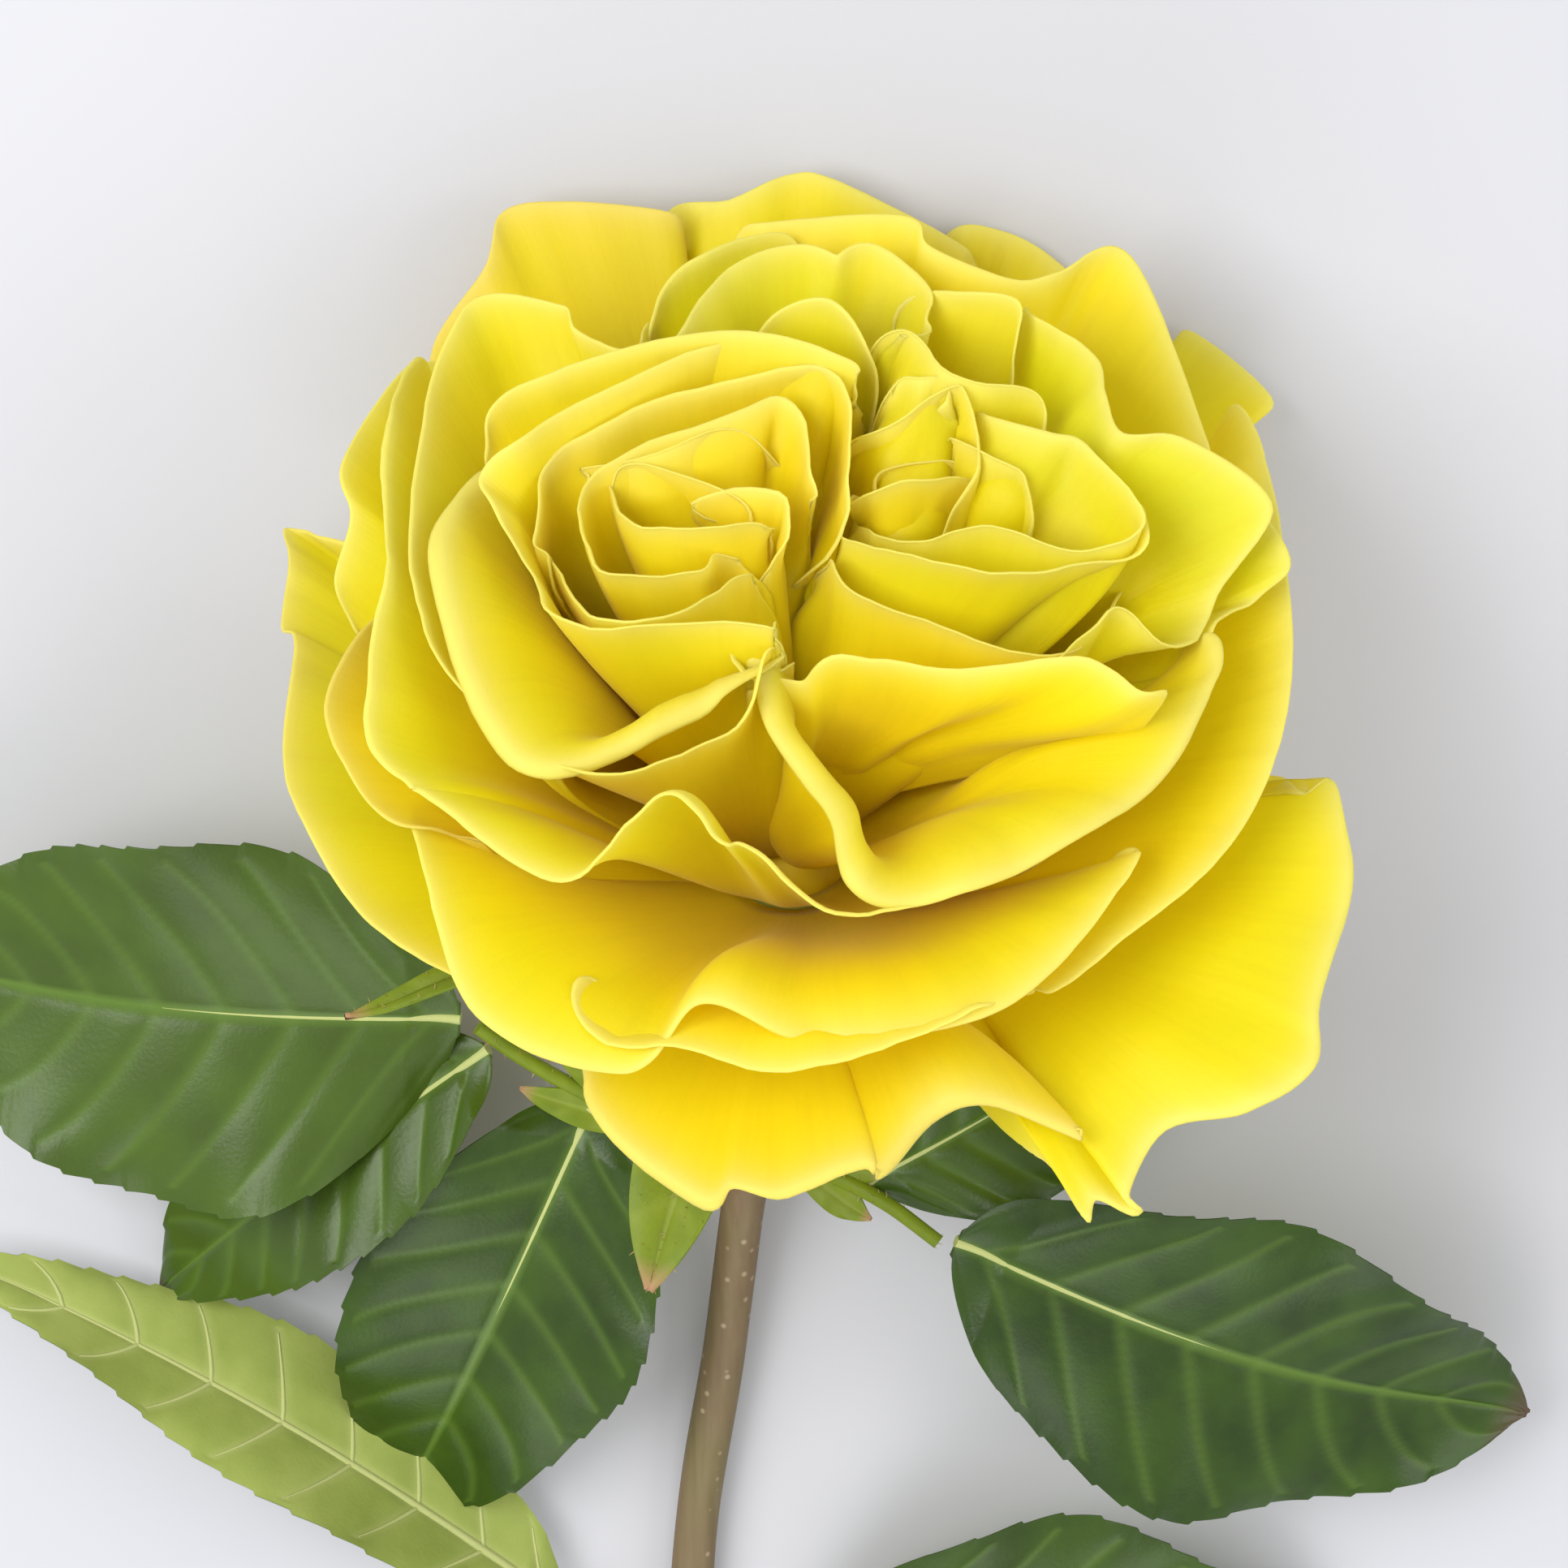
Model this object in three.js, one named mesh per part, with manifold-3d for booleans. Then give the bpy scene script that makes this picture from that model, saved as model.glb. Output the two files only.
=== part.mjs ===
// A cut garden rose with two hearts, lying on its side. Millimetres, +Z up, table at z = 0.
// The stem lies along -X. The bloom is at the +X end and leans up from the table on a bent neck.
import * as THREE from "three";
import { mergeVertices } from "three/addons/utils/BufferGeometryUtils.js";
import Module from "manifold-3d";

const wasm = await Module();
wasm.setup();

// ---- driving dimensions ----
const GAP = 0.3;
const BLOOM_TILT = 35;
const RECEPTACLE = [74.5, -8.75, 37.9];
const PETAL_THICKNESS = 0.6;
const PETAL_ROOT_THICKNESS = 0.4;
const MOST_SIMPLIFYING = 0.12;
const CLEARANCE = GAP + MOST_SIMPLIFYING;
const LARGEST_OVERLAP = 0.001;
const SHORTEST_EDGE = 0.005;
const LEAF_THICKNESS = 0.9;
const SEPAL_THICKNESS = 1.2;
const STEM_RADIUS = 2.7;
const STALK_RADIUS = 0.9;
const HIP_RADIUS = 6.4;
const HIP_LENGTH = 15;

// Each heart has a place on the receptacle where its petals spring, [right, back], and a middle
// that their rims stand around. Later layers spring further out (radius, pitch) and lower
// (top, drop), and lean further from the axis (spread, open).
const HEARTS = {
  left: { root: [-3, 1.5], rim: [-11, 13], radius: 1, pitch: 0.4, top: 8, drop: 0.35, spread: 8, open: 3 },
  right: { root: [3.4, 2.2], rim: [14, 18], radius: 1, pitch: 0.4, top: 8, drop: 0.35, spread: 8, open: 3 },
  front: { root: [1.5, -3], rim: [18, -9], radius: 1, pitch: 0.8, top: 7, drop: 0.8, spread: 20, open: 25 },
  whole: { root: [0, 0], rim: [0, 4], radius: 4.6, pitch: 0.2, top: 11, drop: 0.85, spread: 0, open: 5 },
};

// ---- petals, from the hearts outwards ----
// Every rim point is [right, back, height, flare] in the bloom's own frame: mm from the middle of
// the receptacle, then how far the rim leans out from the bloom's axis there, in degrees.
const PETALS = [
  ["left_heart", "left", 0, [
    [-19, 18, 34, 0], [-19, 19, 40, 5], [-16, 20, 42, 10], [-6, 16, 41, -10], [-4, 14, 38, -10],
  ]],
  ["right_heart", "right", 0, [
    [18, 21, 34, 0], [18, 22, 40, 0], [10, 21, 40, -5], [9, 19, 38, -5],
  ]],
  ["left_fold_front", "left", 1, [
    [-19, 21, 36, 0], [-19, 19, 40, 0], [-15, 10, 43, 0], [-4, 12, 42, 0], [-2, 12, 38, 0],
  ]],
  ["left_fold_back", "left", 1, [
    [-23, 21, 30, 0], [-22, 21, 38, 0], [-21, 21, 41, 0], [-7, 24, 43, 5], [-1, 24, 38, -10],
    [-1, 23, 34, 0],
  ]],
  ["right_fold_front", "right", 1, [
    [5, 18, 36, 0], [6, 17, 39, 5], [12, 17, 43, 15], [19, 20, 40, 0], [18, 20, 34, 0],
  ]],
  ["left_fold_right", "left", 2, [
    [-9, 21, 34, 0], [-7, 21, 40, 0], [-1, 15, 42, 5], [-2, 10, 38, 0], [-4, 10, 34, 0],
  ]],
  ["left_cup_inner", "left", 2, [
    [1, 16, 30, -5], [2, 17, 38, 0], [2, 18, 42, 5], [-2, 29, 44, 5], [-21, 20, 42, 0],
    [-20, 7, 41, 10], [-10, 6, 41, 5], [-8, 9, 40, 0], [-7, 11, 38, 0],
  ]],
  ["right_fold_back", "right", 2, [
    [5, 24, 34, 0], [6, 25, 40, 0], [10, 25, 43, 5], [18, 28, 46, 20], [20, 20, 43, 5],
    [17, 16, 39, 10], [15, 15, 34, 0],
  ]],
  ["left_front_inner", "left", 3, [
    [-26, 16, 30, 0], [-26, 13, 36, 0], [-21, 0, 41, 15], [-12, 0, 41, 10], [-5, 7, 39, 0],
    [-4, 9, 36, 0],
  ]],
  ["right_fold_side", "right", 3, [
    [19, 28, 34, 0], [21, 26, 42, 0], [24, 18, 43, 0], [25, 14, 40, 0], [24, 13, 34, 0],
  ]],
  ["right_back_inner", "right", 3, [
    [9, 28, 32, 0], [9, 29, 40, 0], [12, 30, 45, 15], [17, 30, 45, 10], [18, 28, 38, 0],
  ]],
  ["left_cup_middle", "left", 4, [
    [1, 9, 23, -10], [3, 11, 32, -5], [6, 17, 43, 10], [3, 32, 45, 10], [-23, 23, 43, 0],
    [-27, 12, 40, 0], [-25, 11, 38, 0], [-23, 10, 34, 0],
  ]],
  ["right_cup_inner", "right", 4, [
    [18, 31, 32, 0], [20, 31, 41, 0], [27, 22, 45, 20], [31, 19, 45, 20], [36, 9, 45, 5],
    [30, 8, 42, 0], [20, 11, 42, 0], [13, 11, 40, 0], [9, 14, 38, 0], [8, 17, 36, 0],
  ]],
  ["left_cup_outer", "left", 5, [
    [-1, 37, 34, 0], [-2, 36, 42, 15], [-7, 34, 46, 20], [-21, 26, 46, 25], [-29, 19, 46, 30],
    [-32, 17, 44, 45], [-31, 14, 43, 45], [-27, 7, 40, 20], [-23, 0, 41, 20], [-4, -1, 41, 5],
    [-2, -1, 39, 0], [-1, 0, 33, 0],
  ]],
  ["right_front", "right", 5, [
    [36, 16, 33, 0], [36, 14, 42, 5], [36, 10, 44, 10], [33, 8, 42, 20], [24, 5, 42, 25],
    [14, 7, 42, 20], [5, 13, 38, 0], [4, 16, 32, 0],
  ]],
  ["right_back_middle", "right", 5, [
    [7, 35, 33, 0], [8, 36, 42, 5], [12, 36, 46, 25], [19, 30, 46, 15], [26, 28, 45, 15],
    [27, 25, 42, 0], [27, 23, 34, 0],
  ]],
  ["left_back_outer", "left", 6, [
    [-31, 22, 36, 0], [-32, 23, 41, 5], [-29, 27, 46, 25], [-7, 35, 47, 20], [6, 32, 46, 30],
    [7, 30, 43, 20], [6, 29, 38, 0],
  ]],
  ["right_front_outer", "right", 6, [
    [35, 13, 26, 0], [35, 11, 32, 10], [27, -2, 37, 15], [8, 5, 38, 10], [4, 11, 37, 0],
    [4, 14, 30, 0],
  ]],
  ["left_lip", "left", 7, [
    [-29, 23, 34, 10], [-31, 21, 39, 20], [-36, 8, 41, 60], [-27, -13, 34, 95], [-11, -7, 34, 105],
    [-3, 1, 37, 40], [-2, 2, 34, 20],
  ]],
  ["left_front_outer", "left", 8, [
    [-33, 0, 24, 10], [-32, -3, 31, 20], [-26, -12, 33, 35], [-16, -14, 33, 30], [-6, -9, 34, 30],
    [-2, -3, 38, 10], [-1, -1, 35, 0], [-2, 0, 32, 0],
  ]],
  ["pocket_back", "front", 0, [
    [0, 0, 34, 0], [-2, -1, 34, 10], [1, -4, 34, 20], [5, -4, 39, 10], [18, -5, 38, 20],
    [29, -7, 42, 20], [35, -10, 40, 30], [38, -8, 38, 20], [36, -6, 32, 0],
  ]],
  ["pocket_front", "front", 1, [
    [0, 1, 30, 20], [-3, 0, 35, 60], [-2, -8, 33, 90], [4, -17, 31, 90], [6, -25, 30, 100],
    [11, -27, 28, 105], [23, -23, 29, 110], [37, -12, 29, 95], [43, -2, 33, 65], [43, 4, 33, 40],
    [40, 5, 28, 20],
  ]],
  ["centre_curl", "whole", 5, [
    [8, 28, 32, 0], [9, 32, 40, 0], [8, 33, 44, 0], [6, 38, 46, 10], [-1, 40, 46, 10],
    [-3, 40, 43, 0], [-4, 37, 36, 0],
  ]],
  ["centre_back", "whole", 6, [
    [-16, 35, 33, 0], [-16, 37, 42, 10], [-14, 36, 45, 20], [-6, 46, 46, 35], [1, 49, 46, 30],
    [5, 47, 46, 20], [9, 49, 46, 30], [15, 44, 44, 40], [14, 39, 44, 30], [12, 39, 44, 10],
    [9, 35, 36, 0],
  ]],
  ["right_back_outer", "whole", 7, [
    [10, 40, 34, 0], [13, 43, 43, 10], [24, 41, 46, 20], [24, 36, 42, 0], [23, 32, 36, 0],
  ]],
  ["right_ruffle", "whole", 7, [
    [22, 43, 32, 0], [25, 44, 41, 5], [27, 40, 44, 15], [32, 33, 45, 25], [34, 22, 45, 30],
    [41, 21, 45, 50], [50, 15, 41, 65], [43, 8, 36, 60], [38, 2, 36, 50], [33, 3, 39, 25],
    [27, -1, 37, 20], [24, 0, 34, 10], [19, 2, 28, 0],
  ]],
  ["right_ruffle_outer", "whole", 8, [
    [42, 29, 24, 10], [46, 28, 32, 30], [50, 18, 36, 50], [52, 12, 35, 65], [47, 9, 32, 75],
    [42, 4, 34, 60], [38, -3, 32, 30], [34, -4, 28, 10],
  ]],
  ["centre_back_outer", "whole", 8, [
    [-14, 35, 32, 0], [-15, 40, 41, 5], [-12, 47, 45, 25], [-1, 53, 44, 30], [1, 51, 40, 10],
  ]],
  ["left_wave", "whole", 9, [
    [-13, 41, 32, 0], [-15, 42, 41, 10], [-18, 38, 42, 25], [-23, 39, 43, 30], [-25, 42, 44, 35],
    [-36, 41, 43, 45], [-39, 6, 40, 35], [-29, -10, 33, 20], [-24, -10, 28, 10],
  ]],
  ["left_ruffle", "whole", 10, [
    [-38, 43, 28, 10], [-40, 42, 36, 20], [-43, 28, 40, 45], [-42, 10, 40, 40], [-43, -10, 36, 50],
    [-39, -16, 33, 65], [-36, -17, 32, 60], [-23, -24, 28, 85], [-13, -18, 34, 55],
    [-7, -23, 32, 35], [-4, -23, 31, 35], [7, -29, 28, 35], [26, -18, 26, 20], [26, -14, 20, 0],
  ]],
  ["left_rim", "whole", 11, [
    [-40, 14, 22, 10], [-44, 12, 27, 25], [-48, -4, 31, 60], [-43, -14, 28, 60], [-38, -16, 26, 50],
    [-32, -15, 22, 20],
  ]],
  ["front_crescent", "whole", 11, [
    [-18, -30, 18, 10], [-18, -35, 21, 40], [-1, -42, 20, 90], [18, -36, 22, 50], [19, -32, 20, 20],
  ]],
  ["front_lip", "whole", 12, [
    [-35, -11, 20, 10], [-38, -15, 26, 40], [-32, -35, 21, 95], [-17, -40, 17, 110],
    [-9, -35, 22, 100], [2, -38, 20, 110], [21, -35, 21, 110], [35, -19, 24, 50], [33, -15, 20, 20],
  ]],
  ["guard_back_left", "whole", 12, [
    [-41, 49, 18, 20], [-40, 53, 27, 40], [-34, 57, 35, 55], [-31, 64, 38, 60], [-14, 62, 39, 45],
    [-12, 62, 34, 30], [-10, 58, 26, 10],
  ]],
  ["guard_back_right", "whole", 12, [
    [-8, 55, 31, 10], [-6, 57, 40, 40], [-2, 56, 43, 50], [12, 55, 45, 50], [15, 51, 44, 35],
    [24, 48, 42, 35], [29, 49, 42, 40], [37, 53, 41, 60], [44, 32, 35, 50], [45, 30, 32, 40],
    [44, 27, 24, 10],
  ]],
  ["guard_back", "whole", 13, [
    [-15, 62, 24, 20], [-14, 68, 33, 40], [-7, 65, 38, 55], [0, 68, 39, 60], [5, 67, 39, 60],
    [18, 63, 34, 55], [21, 63, 30, 40], [23, 61, 22, 20],
  ]],
  ["guard_left_upper", "whole", 13, [
    [-40, 48, 20, 20], [-42, 48, 29, 45], [-48, 30, 33, 65], [-47, 23, 31, 65], [-49, 19, 25, 50],
    [-47, 16, 20, 30],
  ]],
  ["guard_right", "whole", 13, [
    [47, 44, 20, 20], [50, 43, 27, 50], [52, 21, 31, 65], [52, 1, 26, 70], [44, -16, 21, 80],
    [28, -29, 18, 70], [24, -28, 14, 40],
  ]],
  ["guard_back_small", "whole", 14, [
    [14, 61, 22, 20], [18, 67, 31, 50], [26, 65, 32, 60], [34, 62, 26, 50], [35, 58, 20, 30],
  ]],
  ["guard_right_back", "whole", 14, [
    [39, 55, 14, 20], [43, 60, 21, 60], [46, 59, 23, 70], [54, 51, 21, 80], [52, 50, 18, 80],
    [53, 46, 16, 70], [51, 42, 14, 50],
  ]],
  ["guard_left", "whole", 14, [
    [-44, 31, 8, 20], [-49, 34, 14, 60], [-57, 41, 10, 85], [-56, 33, 12, 80], [-56, 24, 13, 85],
    [-54, 19, 15, 75], [-53, -4, 19, 80], [-44, -20, 17, 80], [-35, -26, 15, 75],
    [-30, -25, 12, 50],
  ]],
  ["guard_front", "whole", 14, [
    [-20, -29, 8, 60], [-21, -33, 8, 90], [-19, -39, 7, 95], [-9, -47, 5, 100], [-6, -46, 6, 95],
    [-1, -47, 6, 95], [7, -45, 8, 95], [9, -46, 8, 95], [14, -40, 10, 115], [20, -39, 11, 120],
    [29, -40, 7, 100], [29, -39, 6, 70],
  ]],
  ["guard_front_right", "whole", 15, [
    [24, -37, 0, 60], [27, -42, 2, 100], [30, -47, 1, 110], [31, -45, 2, 105], [35, -46, 1, 105],
    [34, -45, 3, 100], [38, -39, 6, 95], [46, -39, 9, 95], [53, -35, 11, 95], [54, -28, 13, 90],
    [58, -15, 15, 85], [58, -7, 16, 85], [57, -1, 16, 85], [54, -3, 16, 80], [52, 0, 15, 70],
    [47, 3, 12, 40],
  ]],
];

// ---- leaves and sepals ----
// Blades run from base to tip, in mm from the middle of the receptacle. A leaflet's points are in
// the table's frame and a sepal's in the bloom's. fold is how far the two halves rise from the
// midrib and arch how far the middle rises above the straight line between the ends.
const SEPALS = [
  { name: "sepal_front", base: [-2, -6.5, -5], tip: [-15, -46, -14], width: 8, arch: 5 },
  { name: "sepal_left", base: [-6.5, -1.5, -5], tip: [-48, -17, -6], width: 7, arch: 3 },
  { name: "sepal_right_front", base: [5.5, -4, -5], tip: [25, -19, -16], width: 7, arch: 4 },
  { name: "sepal_right_back", base: [5.5, 3.5, -5], tip: [26, 15, -15], width: 7, arch: 4 },
  { name: "sepal_back", base: [-2, 6.5, -5], tip: [-9, 30, -15], width: 7, arch: 4 },
];
const LEAFLETS = [
  { name: "left_leaf_end", base: [-24, 38, -20], tip: [-19, 106, -30], width: 48, arch: 6, roll: -8 },
  { name: "left_leaf_upper_side", base: [-28, 35, -21], tip: [-63, 76, -35], width: 24, arch: 5, roll: 20 },
  { name: "left_leaf_lower_side", base: [-35, 23, -22], tip: [-92, 48, -36], width: 36, arch: 5, roll: 0 },
  { name: "right_leaf_end", base: [-49, -19, -14], tip: [-76, -88, -30], width: 42, arch: 7, roll: 12 },
  { name: "right_leaf_side", base: [-43, -9, -18], tip: [-22, -46, -26], width: 24, arch: 3, roll: 0 },
  { name: "low_leaf_left", base: [-103, 27, -31], tip: [-56, 100, -29], width: 22, arch: 5, roll: 50 },
  { name: "low_leaf_right", base: [-108, -4, -32], tip: [-118, -72, -36], width: 50, arch: 6, roll: 0 },
];
const STALKS = [
  { name: "left_leaf_stalk", path: [[-40, 11, -24], [-34, 23, -22], [-29, 31, -21], [-25, 36, -20]] },
  { name: "right_leaf_stalk", path: [[-42, 1, -25], [-43, -5, -20], [-45, -11, -16], [-49, -17, -14]] },
  { name: "low_leaf_left_stalk", path: [[-116, 17, -35], [-111, 20, -34], [-105, 25, -32]] },
  { name: "low_leaf_right_stalk", path: [[-122, 9, -35], [-117, 4, -34], [-109, -3, -32]] },
];
const STEM_PATH = [
  [-9, 0, -6], [-27, 2, -19], [-45, 5, -28], [-70, 8, -33], [-100, 12, -35], [-150, 13, -35], [-220, 6, -35],
];

// ---- small helpers ----
const radians = THREE.MathUtils.degToRad;
const SET_DOWN = new THREE.Matrix4().makeTranslation(...RECEPTACLE);
const TO_TABLE = new THREE.Matrix4().makeBasis(
  new THREE.Vector3(0, -1, 0),
  new THREE.Vector3(Math.sin(radians(BLOOM_TILT)), 0, -Math.cos(radians(BLOOM_TILT))),
  new THREE.Vector3(Math.cos(radians(BLOOM_TILT)), 0, Math.sin(radians(BLOOM_TILT))),
).premultiply(SET_DOWN);

// A smooth curve through a list of points with any number of parts, at t from 0 to 1.
function smoothAt(points, t) {
  const spans = points.length - 1;
  const span = Math.max(0, Math.min(Math.floor(t * spans), spans - 1));
  const f = t * spans - span;
  const b = points[span];
  const c = points[span + 1];
  const a = points[span - 1] ?? b.map((value, k) => 2 * value - c[k]);
  const d = points[span + 2] ?? c.map((value, k) => 2 * value - b[k]);
  return b.map((_, k) => {
    const slope = (c[k] - a[k]) / 2;
    const square = (2 * a[k] - 5 * b[k] + 4 * c[k] - d[k]) / 2;
    const cube = (3 * b[k] - a[k] - 3 * c[k] + d[k]) / 2;
    return b[k] + slope * f + square * f * f + cube * f * f * f;
  });
}

function lengthOf(points) {
  let length = 0;
  for (let i = 1; i < points.length; i++) {
    length += Math.hypot(...[0, 1, 2].map((k) => points[i][k] - points[i - 1][k]));
  }
  return length;
}

function evenly(count) {
  return Array.from({ length: count }, (_, i) => i / (count - 1));
}

// A closed thin solid around a curved sheet. sheetAt(u, v) gives its middle surface, which is
// sampled at every u in acrosses and every v in ups.
function thinSolid(sheetAt, acrosses, ups, thicknessAt) {
  const columns = acrosses.length;
  const rows = ups.length;
  const positions = [];
  const step = 0.01;
  for (const side of [1, -1]) {
    for (const u of acrosses) {
      for (const v of ups) {
        const point = sheetAt(u, v);
        const along = sheetAt(u + step, v).sub(sheetAt(u - step, v));
        const up = sheetAt(u, v + step).sub(sheetAt(u, v - step));
        const normal = along.cross(up).normalize();
        point.addScaledVector(normal, (side * thicknessAt(u, v)) / 2);
        positions.push(point.x, point.y, point.z);
      }
    }
  }
  const at = (side, i, j) => side * columns * rows + i * rows + j;
  const index = [];
  const quad = (a, b, c, d) => index.push(a, b, c, a, c, d);
  for (let i = 0; i < columns - 1; i++) {
    for (let j = 0; j < rows - 1; j++) {
      quad(at(0, i, j), at(0, i + 1, j), at(0, i + 1, j + 1), at(0, i, j + 1));
      quad(at(1, i, j), at(1, i, j + 1), at(1, i + 1, j + 1), at(1, i + 1, j));
    }
    quad(at(1, i, 0), at(1, i + 1, 0), at(0, i + 1, 0), at(0, i, 0));
    quad(at(0, i, rows - 1), at(0, i + 1, rows - 1), at(1, i + 1, rows - 1), at(1, i, rows - 1));
  }
  for (let j = 0; j < rows - 1; j++) {
    quad(at(1, 0, j + 1), at(1, 0, j), at(0, 0, j), at(0, 0, j + 1));
    quad(at(0, columns - 1, j + 1), at(0, columns - 1, j), at(1, columns - 1, j), at(1, columns - 1, j + 1));
  }
  return toManifold(positions, index);
}

function toManifold(positions, index) {
  const made = new wasm.Manifold(
    new wasm.Mesh({
      numProp: 3,
      vertProperties: new Float32Array(positions),
      triVerts: new Uint32Array(index),
    }),
  );
  if (made.volume() >= 0) {
    return made;
  }
  const turned = [];
  for (let i = 0; i < index.length; i += 3) {
    turned.push(index[i], index[i + 2], index[i + 1]);
  }
  return toManifold(positions, turned);
}

// A three.js geometry as a manifold solid.
function solidOf(geometry) {
  geometry.deleteAttribute("normal");
  geometry.deleteAttribute("uv");
  const merged = mergeVertices(geometry, 1e-3);
  return toManifold(merged.attributes.position.array, merged.index.array);
}

function geometryOf(solid) {
  const mesh = solid.getMesh();
  const geometry = new THREE.BufferGeometry();
  geometry.setAttribute("position", new THREE.BufferAttribute(mesh.vertProperties, 3));
  geometry.setIndex(new THREE.BufferAttribute(mesh.triVerts, 1));
  return geometry;
}

// The largest piece of a solid, so that every node stays one body.
function largest(solid) {
  const pieces = solid.decompose();
  return pieces.reduce((best, piece) => (piece.volume() > best.volume() ? piece : best));
}

function boxesMeet(a, b) {
  const p = a.boundingBox();
  const q = b.boundingBox();
  return [0, 1, 2].every((k) => p.min[k] < q.max[k] && q.min[k] < p.max[k]);
}

// ---- the finished pieces ----
const group = new THREE.Group();
group.name = "cut_rose";
const placed = [];

// Cuts a solid back from one of the solids of every piece placed so far, where it reaches in.
function cutBack(solid, which) {
  let kept = solid;
  for (const other of placed) {
    if (boxesMeet(kept, other[which]) && kept.intersect(other[which]).volume() > LARGEST_OVERLAP) {
      kept = kept.subtract(other[which]);
    }
  }
  return largest(kept);
}

// True if every edge has exactly two faces once the corners are rounded and none is too short,
// so that nothing only touches.
function isClosed(geometry) {
  const corners = geometry.attributes.position;
  const keyOf = (i) => [corners.getX(i), corners.getY(i), corners.getZ(i)].map((c) => c.toFixed(3)).join();
  const uses = new Map();
  const index = geometry.index.array;
  for (let i = 0; i < index.length; i += 3) {
    const keys = [keyOf(index[i]), keyOf(index[i + 1]), keyOf(index[i + 2])];
    const [a, b, c] = [0, 1, 2].map((k) => new THREE.Vector3().fromBufferAttribute(corners, index[i + k]));
    if (Math.min(a.distanceTo(b), b.distanceTo(c), c.distanceTo(a)) < SHORTEST_EDGE / 5) {
      return false;
    }
    for (const [a, b] of [[0, 1], [1, 2], [2, 0]]) {
      const edge = [keys[a], keys[b]].sort().join("|");
      uses.set(edge, (uses.get(edge) ?? 0) + 1);
    }
  }
  return [...uses.values()].every((count) => count === 2);
}

// Adds a piece. Where two cuts only touch and the piece isn't one closed body, it is tried again
// a few hundredths of a millimetre higher.
function place(name, solid, room, colour, roughness) {
  let rounded;
  let geometry;
  for (let nudge = 0; nudge < 0.3; nudge += 0.03) {
    const cut = cutBack(solid.translate([0, 0, nudge]), "room").simplify(MOST_SIMPLIFYING);
    const kept = cutBack(cut, "body").simplify(SHORTEST_EDGE);
    rounded = largest(solidOf(geometryOf(kept)));
    geometry = geometryOf(rounded);
    if (isClosed(geometry)) {
      break;
    }
  }
  placed.push({ room, body: rounded });
  geometry.computeVertexNormals();
  const material = new THREE.MeshStandardMaterial({ color: colour, roughness, metalness: 0 });
  const node = new THREE.Mesh(geometry, material);
  node.name = name;
  group.add(node);
}

// ---- petals ----
// The angle that the rim turns through around its heart, from its first point to its last.
function sweepOf(rim, middle) {
  const angles = rim.map(([x, y]) => Math.atan2(y - middle[1], x - middle[0]));
  let end = angles[0];
  for (let i = 1; i < angles.length; i++) {
    const turn = angles[i] - angles[i - 1];
    end += Math.atan2(Math.sin(turn), Math.cos(turn));
  }
  return [angles[0], end];
}

function petalSheet(heart, layer, rim) {
  const { root, rim: middle, radius, pitch, top, drop, spread, open } = HEARTS[heart];
  const lean = radians(spread + open * layer);
  const reach = radius + pitch * layer;
  const [first, last] = sweepOf(rim, middle);
  return (u, v) => {
    const [x, y, z, flare] = smoothAt(rim, u);
    const edge = new THREE.Vector3(x, y, z);
    const out = new THREE.Vector3(x - middle[0], y - middle[1], 0).normalize();
    const angle = THREE.MathUtils.lerp(first, last, u);
    const away = new THREE.Vector3(Math.cos(angle), Math.sin(angle), 0);
    const start = new THREE.Vector3(root[0], root[1], top - drop * layer);
    start.addScaledVector(away, reach);
    const length = start.distanceTo(edge);
    const leave = start.clone().addScaledVector(away, 0.4 * length * Math.sin(lean));
    leave.z += 0.4 * length * Math.cos(lean);
    const arrive = edge.clone().addScaledVector(out, -0.3 * length * Math.sin(radians(flare)));
    arrive.z -= 0.3 * length * Math.cos(radians(flare));
    return new THREE.CubicBezierCurve3(start, leave, arrive, edge).getPoint(v).applyMatrix4(TO_TABLE);
  };
}

for (const [name, heart, layer, rim] of PETALS) {
  const sheet = petalSheet(heart, layer, rim);
  const columns = Math.max(5, Math.min(7, rim.length));
  const rows = rim.some((point) => point[3] > 80) ? 5 : 4;
  const thickness = (u, v) => THREE.MathUtils.lerp(PETAL_ROOT_THICKNESS, PETAL_THICKNESS, Math.min(v, 1));
  const acrosses = evenly(columns);
  const ups = evenly(rows);
  const solid = thinSolid(sheet, acrosses, ups, thickness);
  const beyondEnds = (2 * GAP) / lengthOf(rim);
  const beyondRim = (2 * GAP) / sheet(0.5, 0).distanceTo(sheet(0.5, 1));
  const room = thinSolid(
    sheet,
    [-beyondEnds, ...acrosses, 1 + beyondEnds],
    [...ups, 1 + beyondRim],
    (u, v) => thickness(u, v) + 2 * CLEARANCE,
  );
  place(name, solid, room, 0xf0d21c, 0.6);
}

// ---- stem with the receptacle on its end ----
function tube(path, radius, steps) {
  const points = path.map((point) => new THREE.Vector3(...point).applyMatrix4(SET_DOWN));
  const curve = new THREE.CatmullRomCurve3(points);
  const circle = new THREE.Shape();
  circle.absarc(0, 0, radius, 0, 2 * Math.PI);
  return new THREE.ExtrudeGeometry(circle, { extrudePath: curve, steps, bevelEnabled: false, curveSegments: 4 });
}

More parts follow.
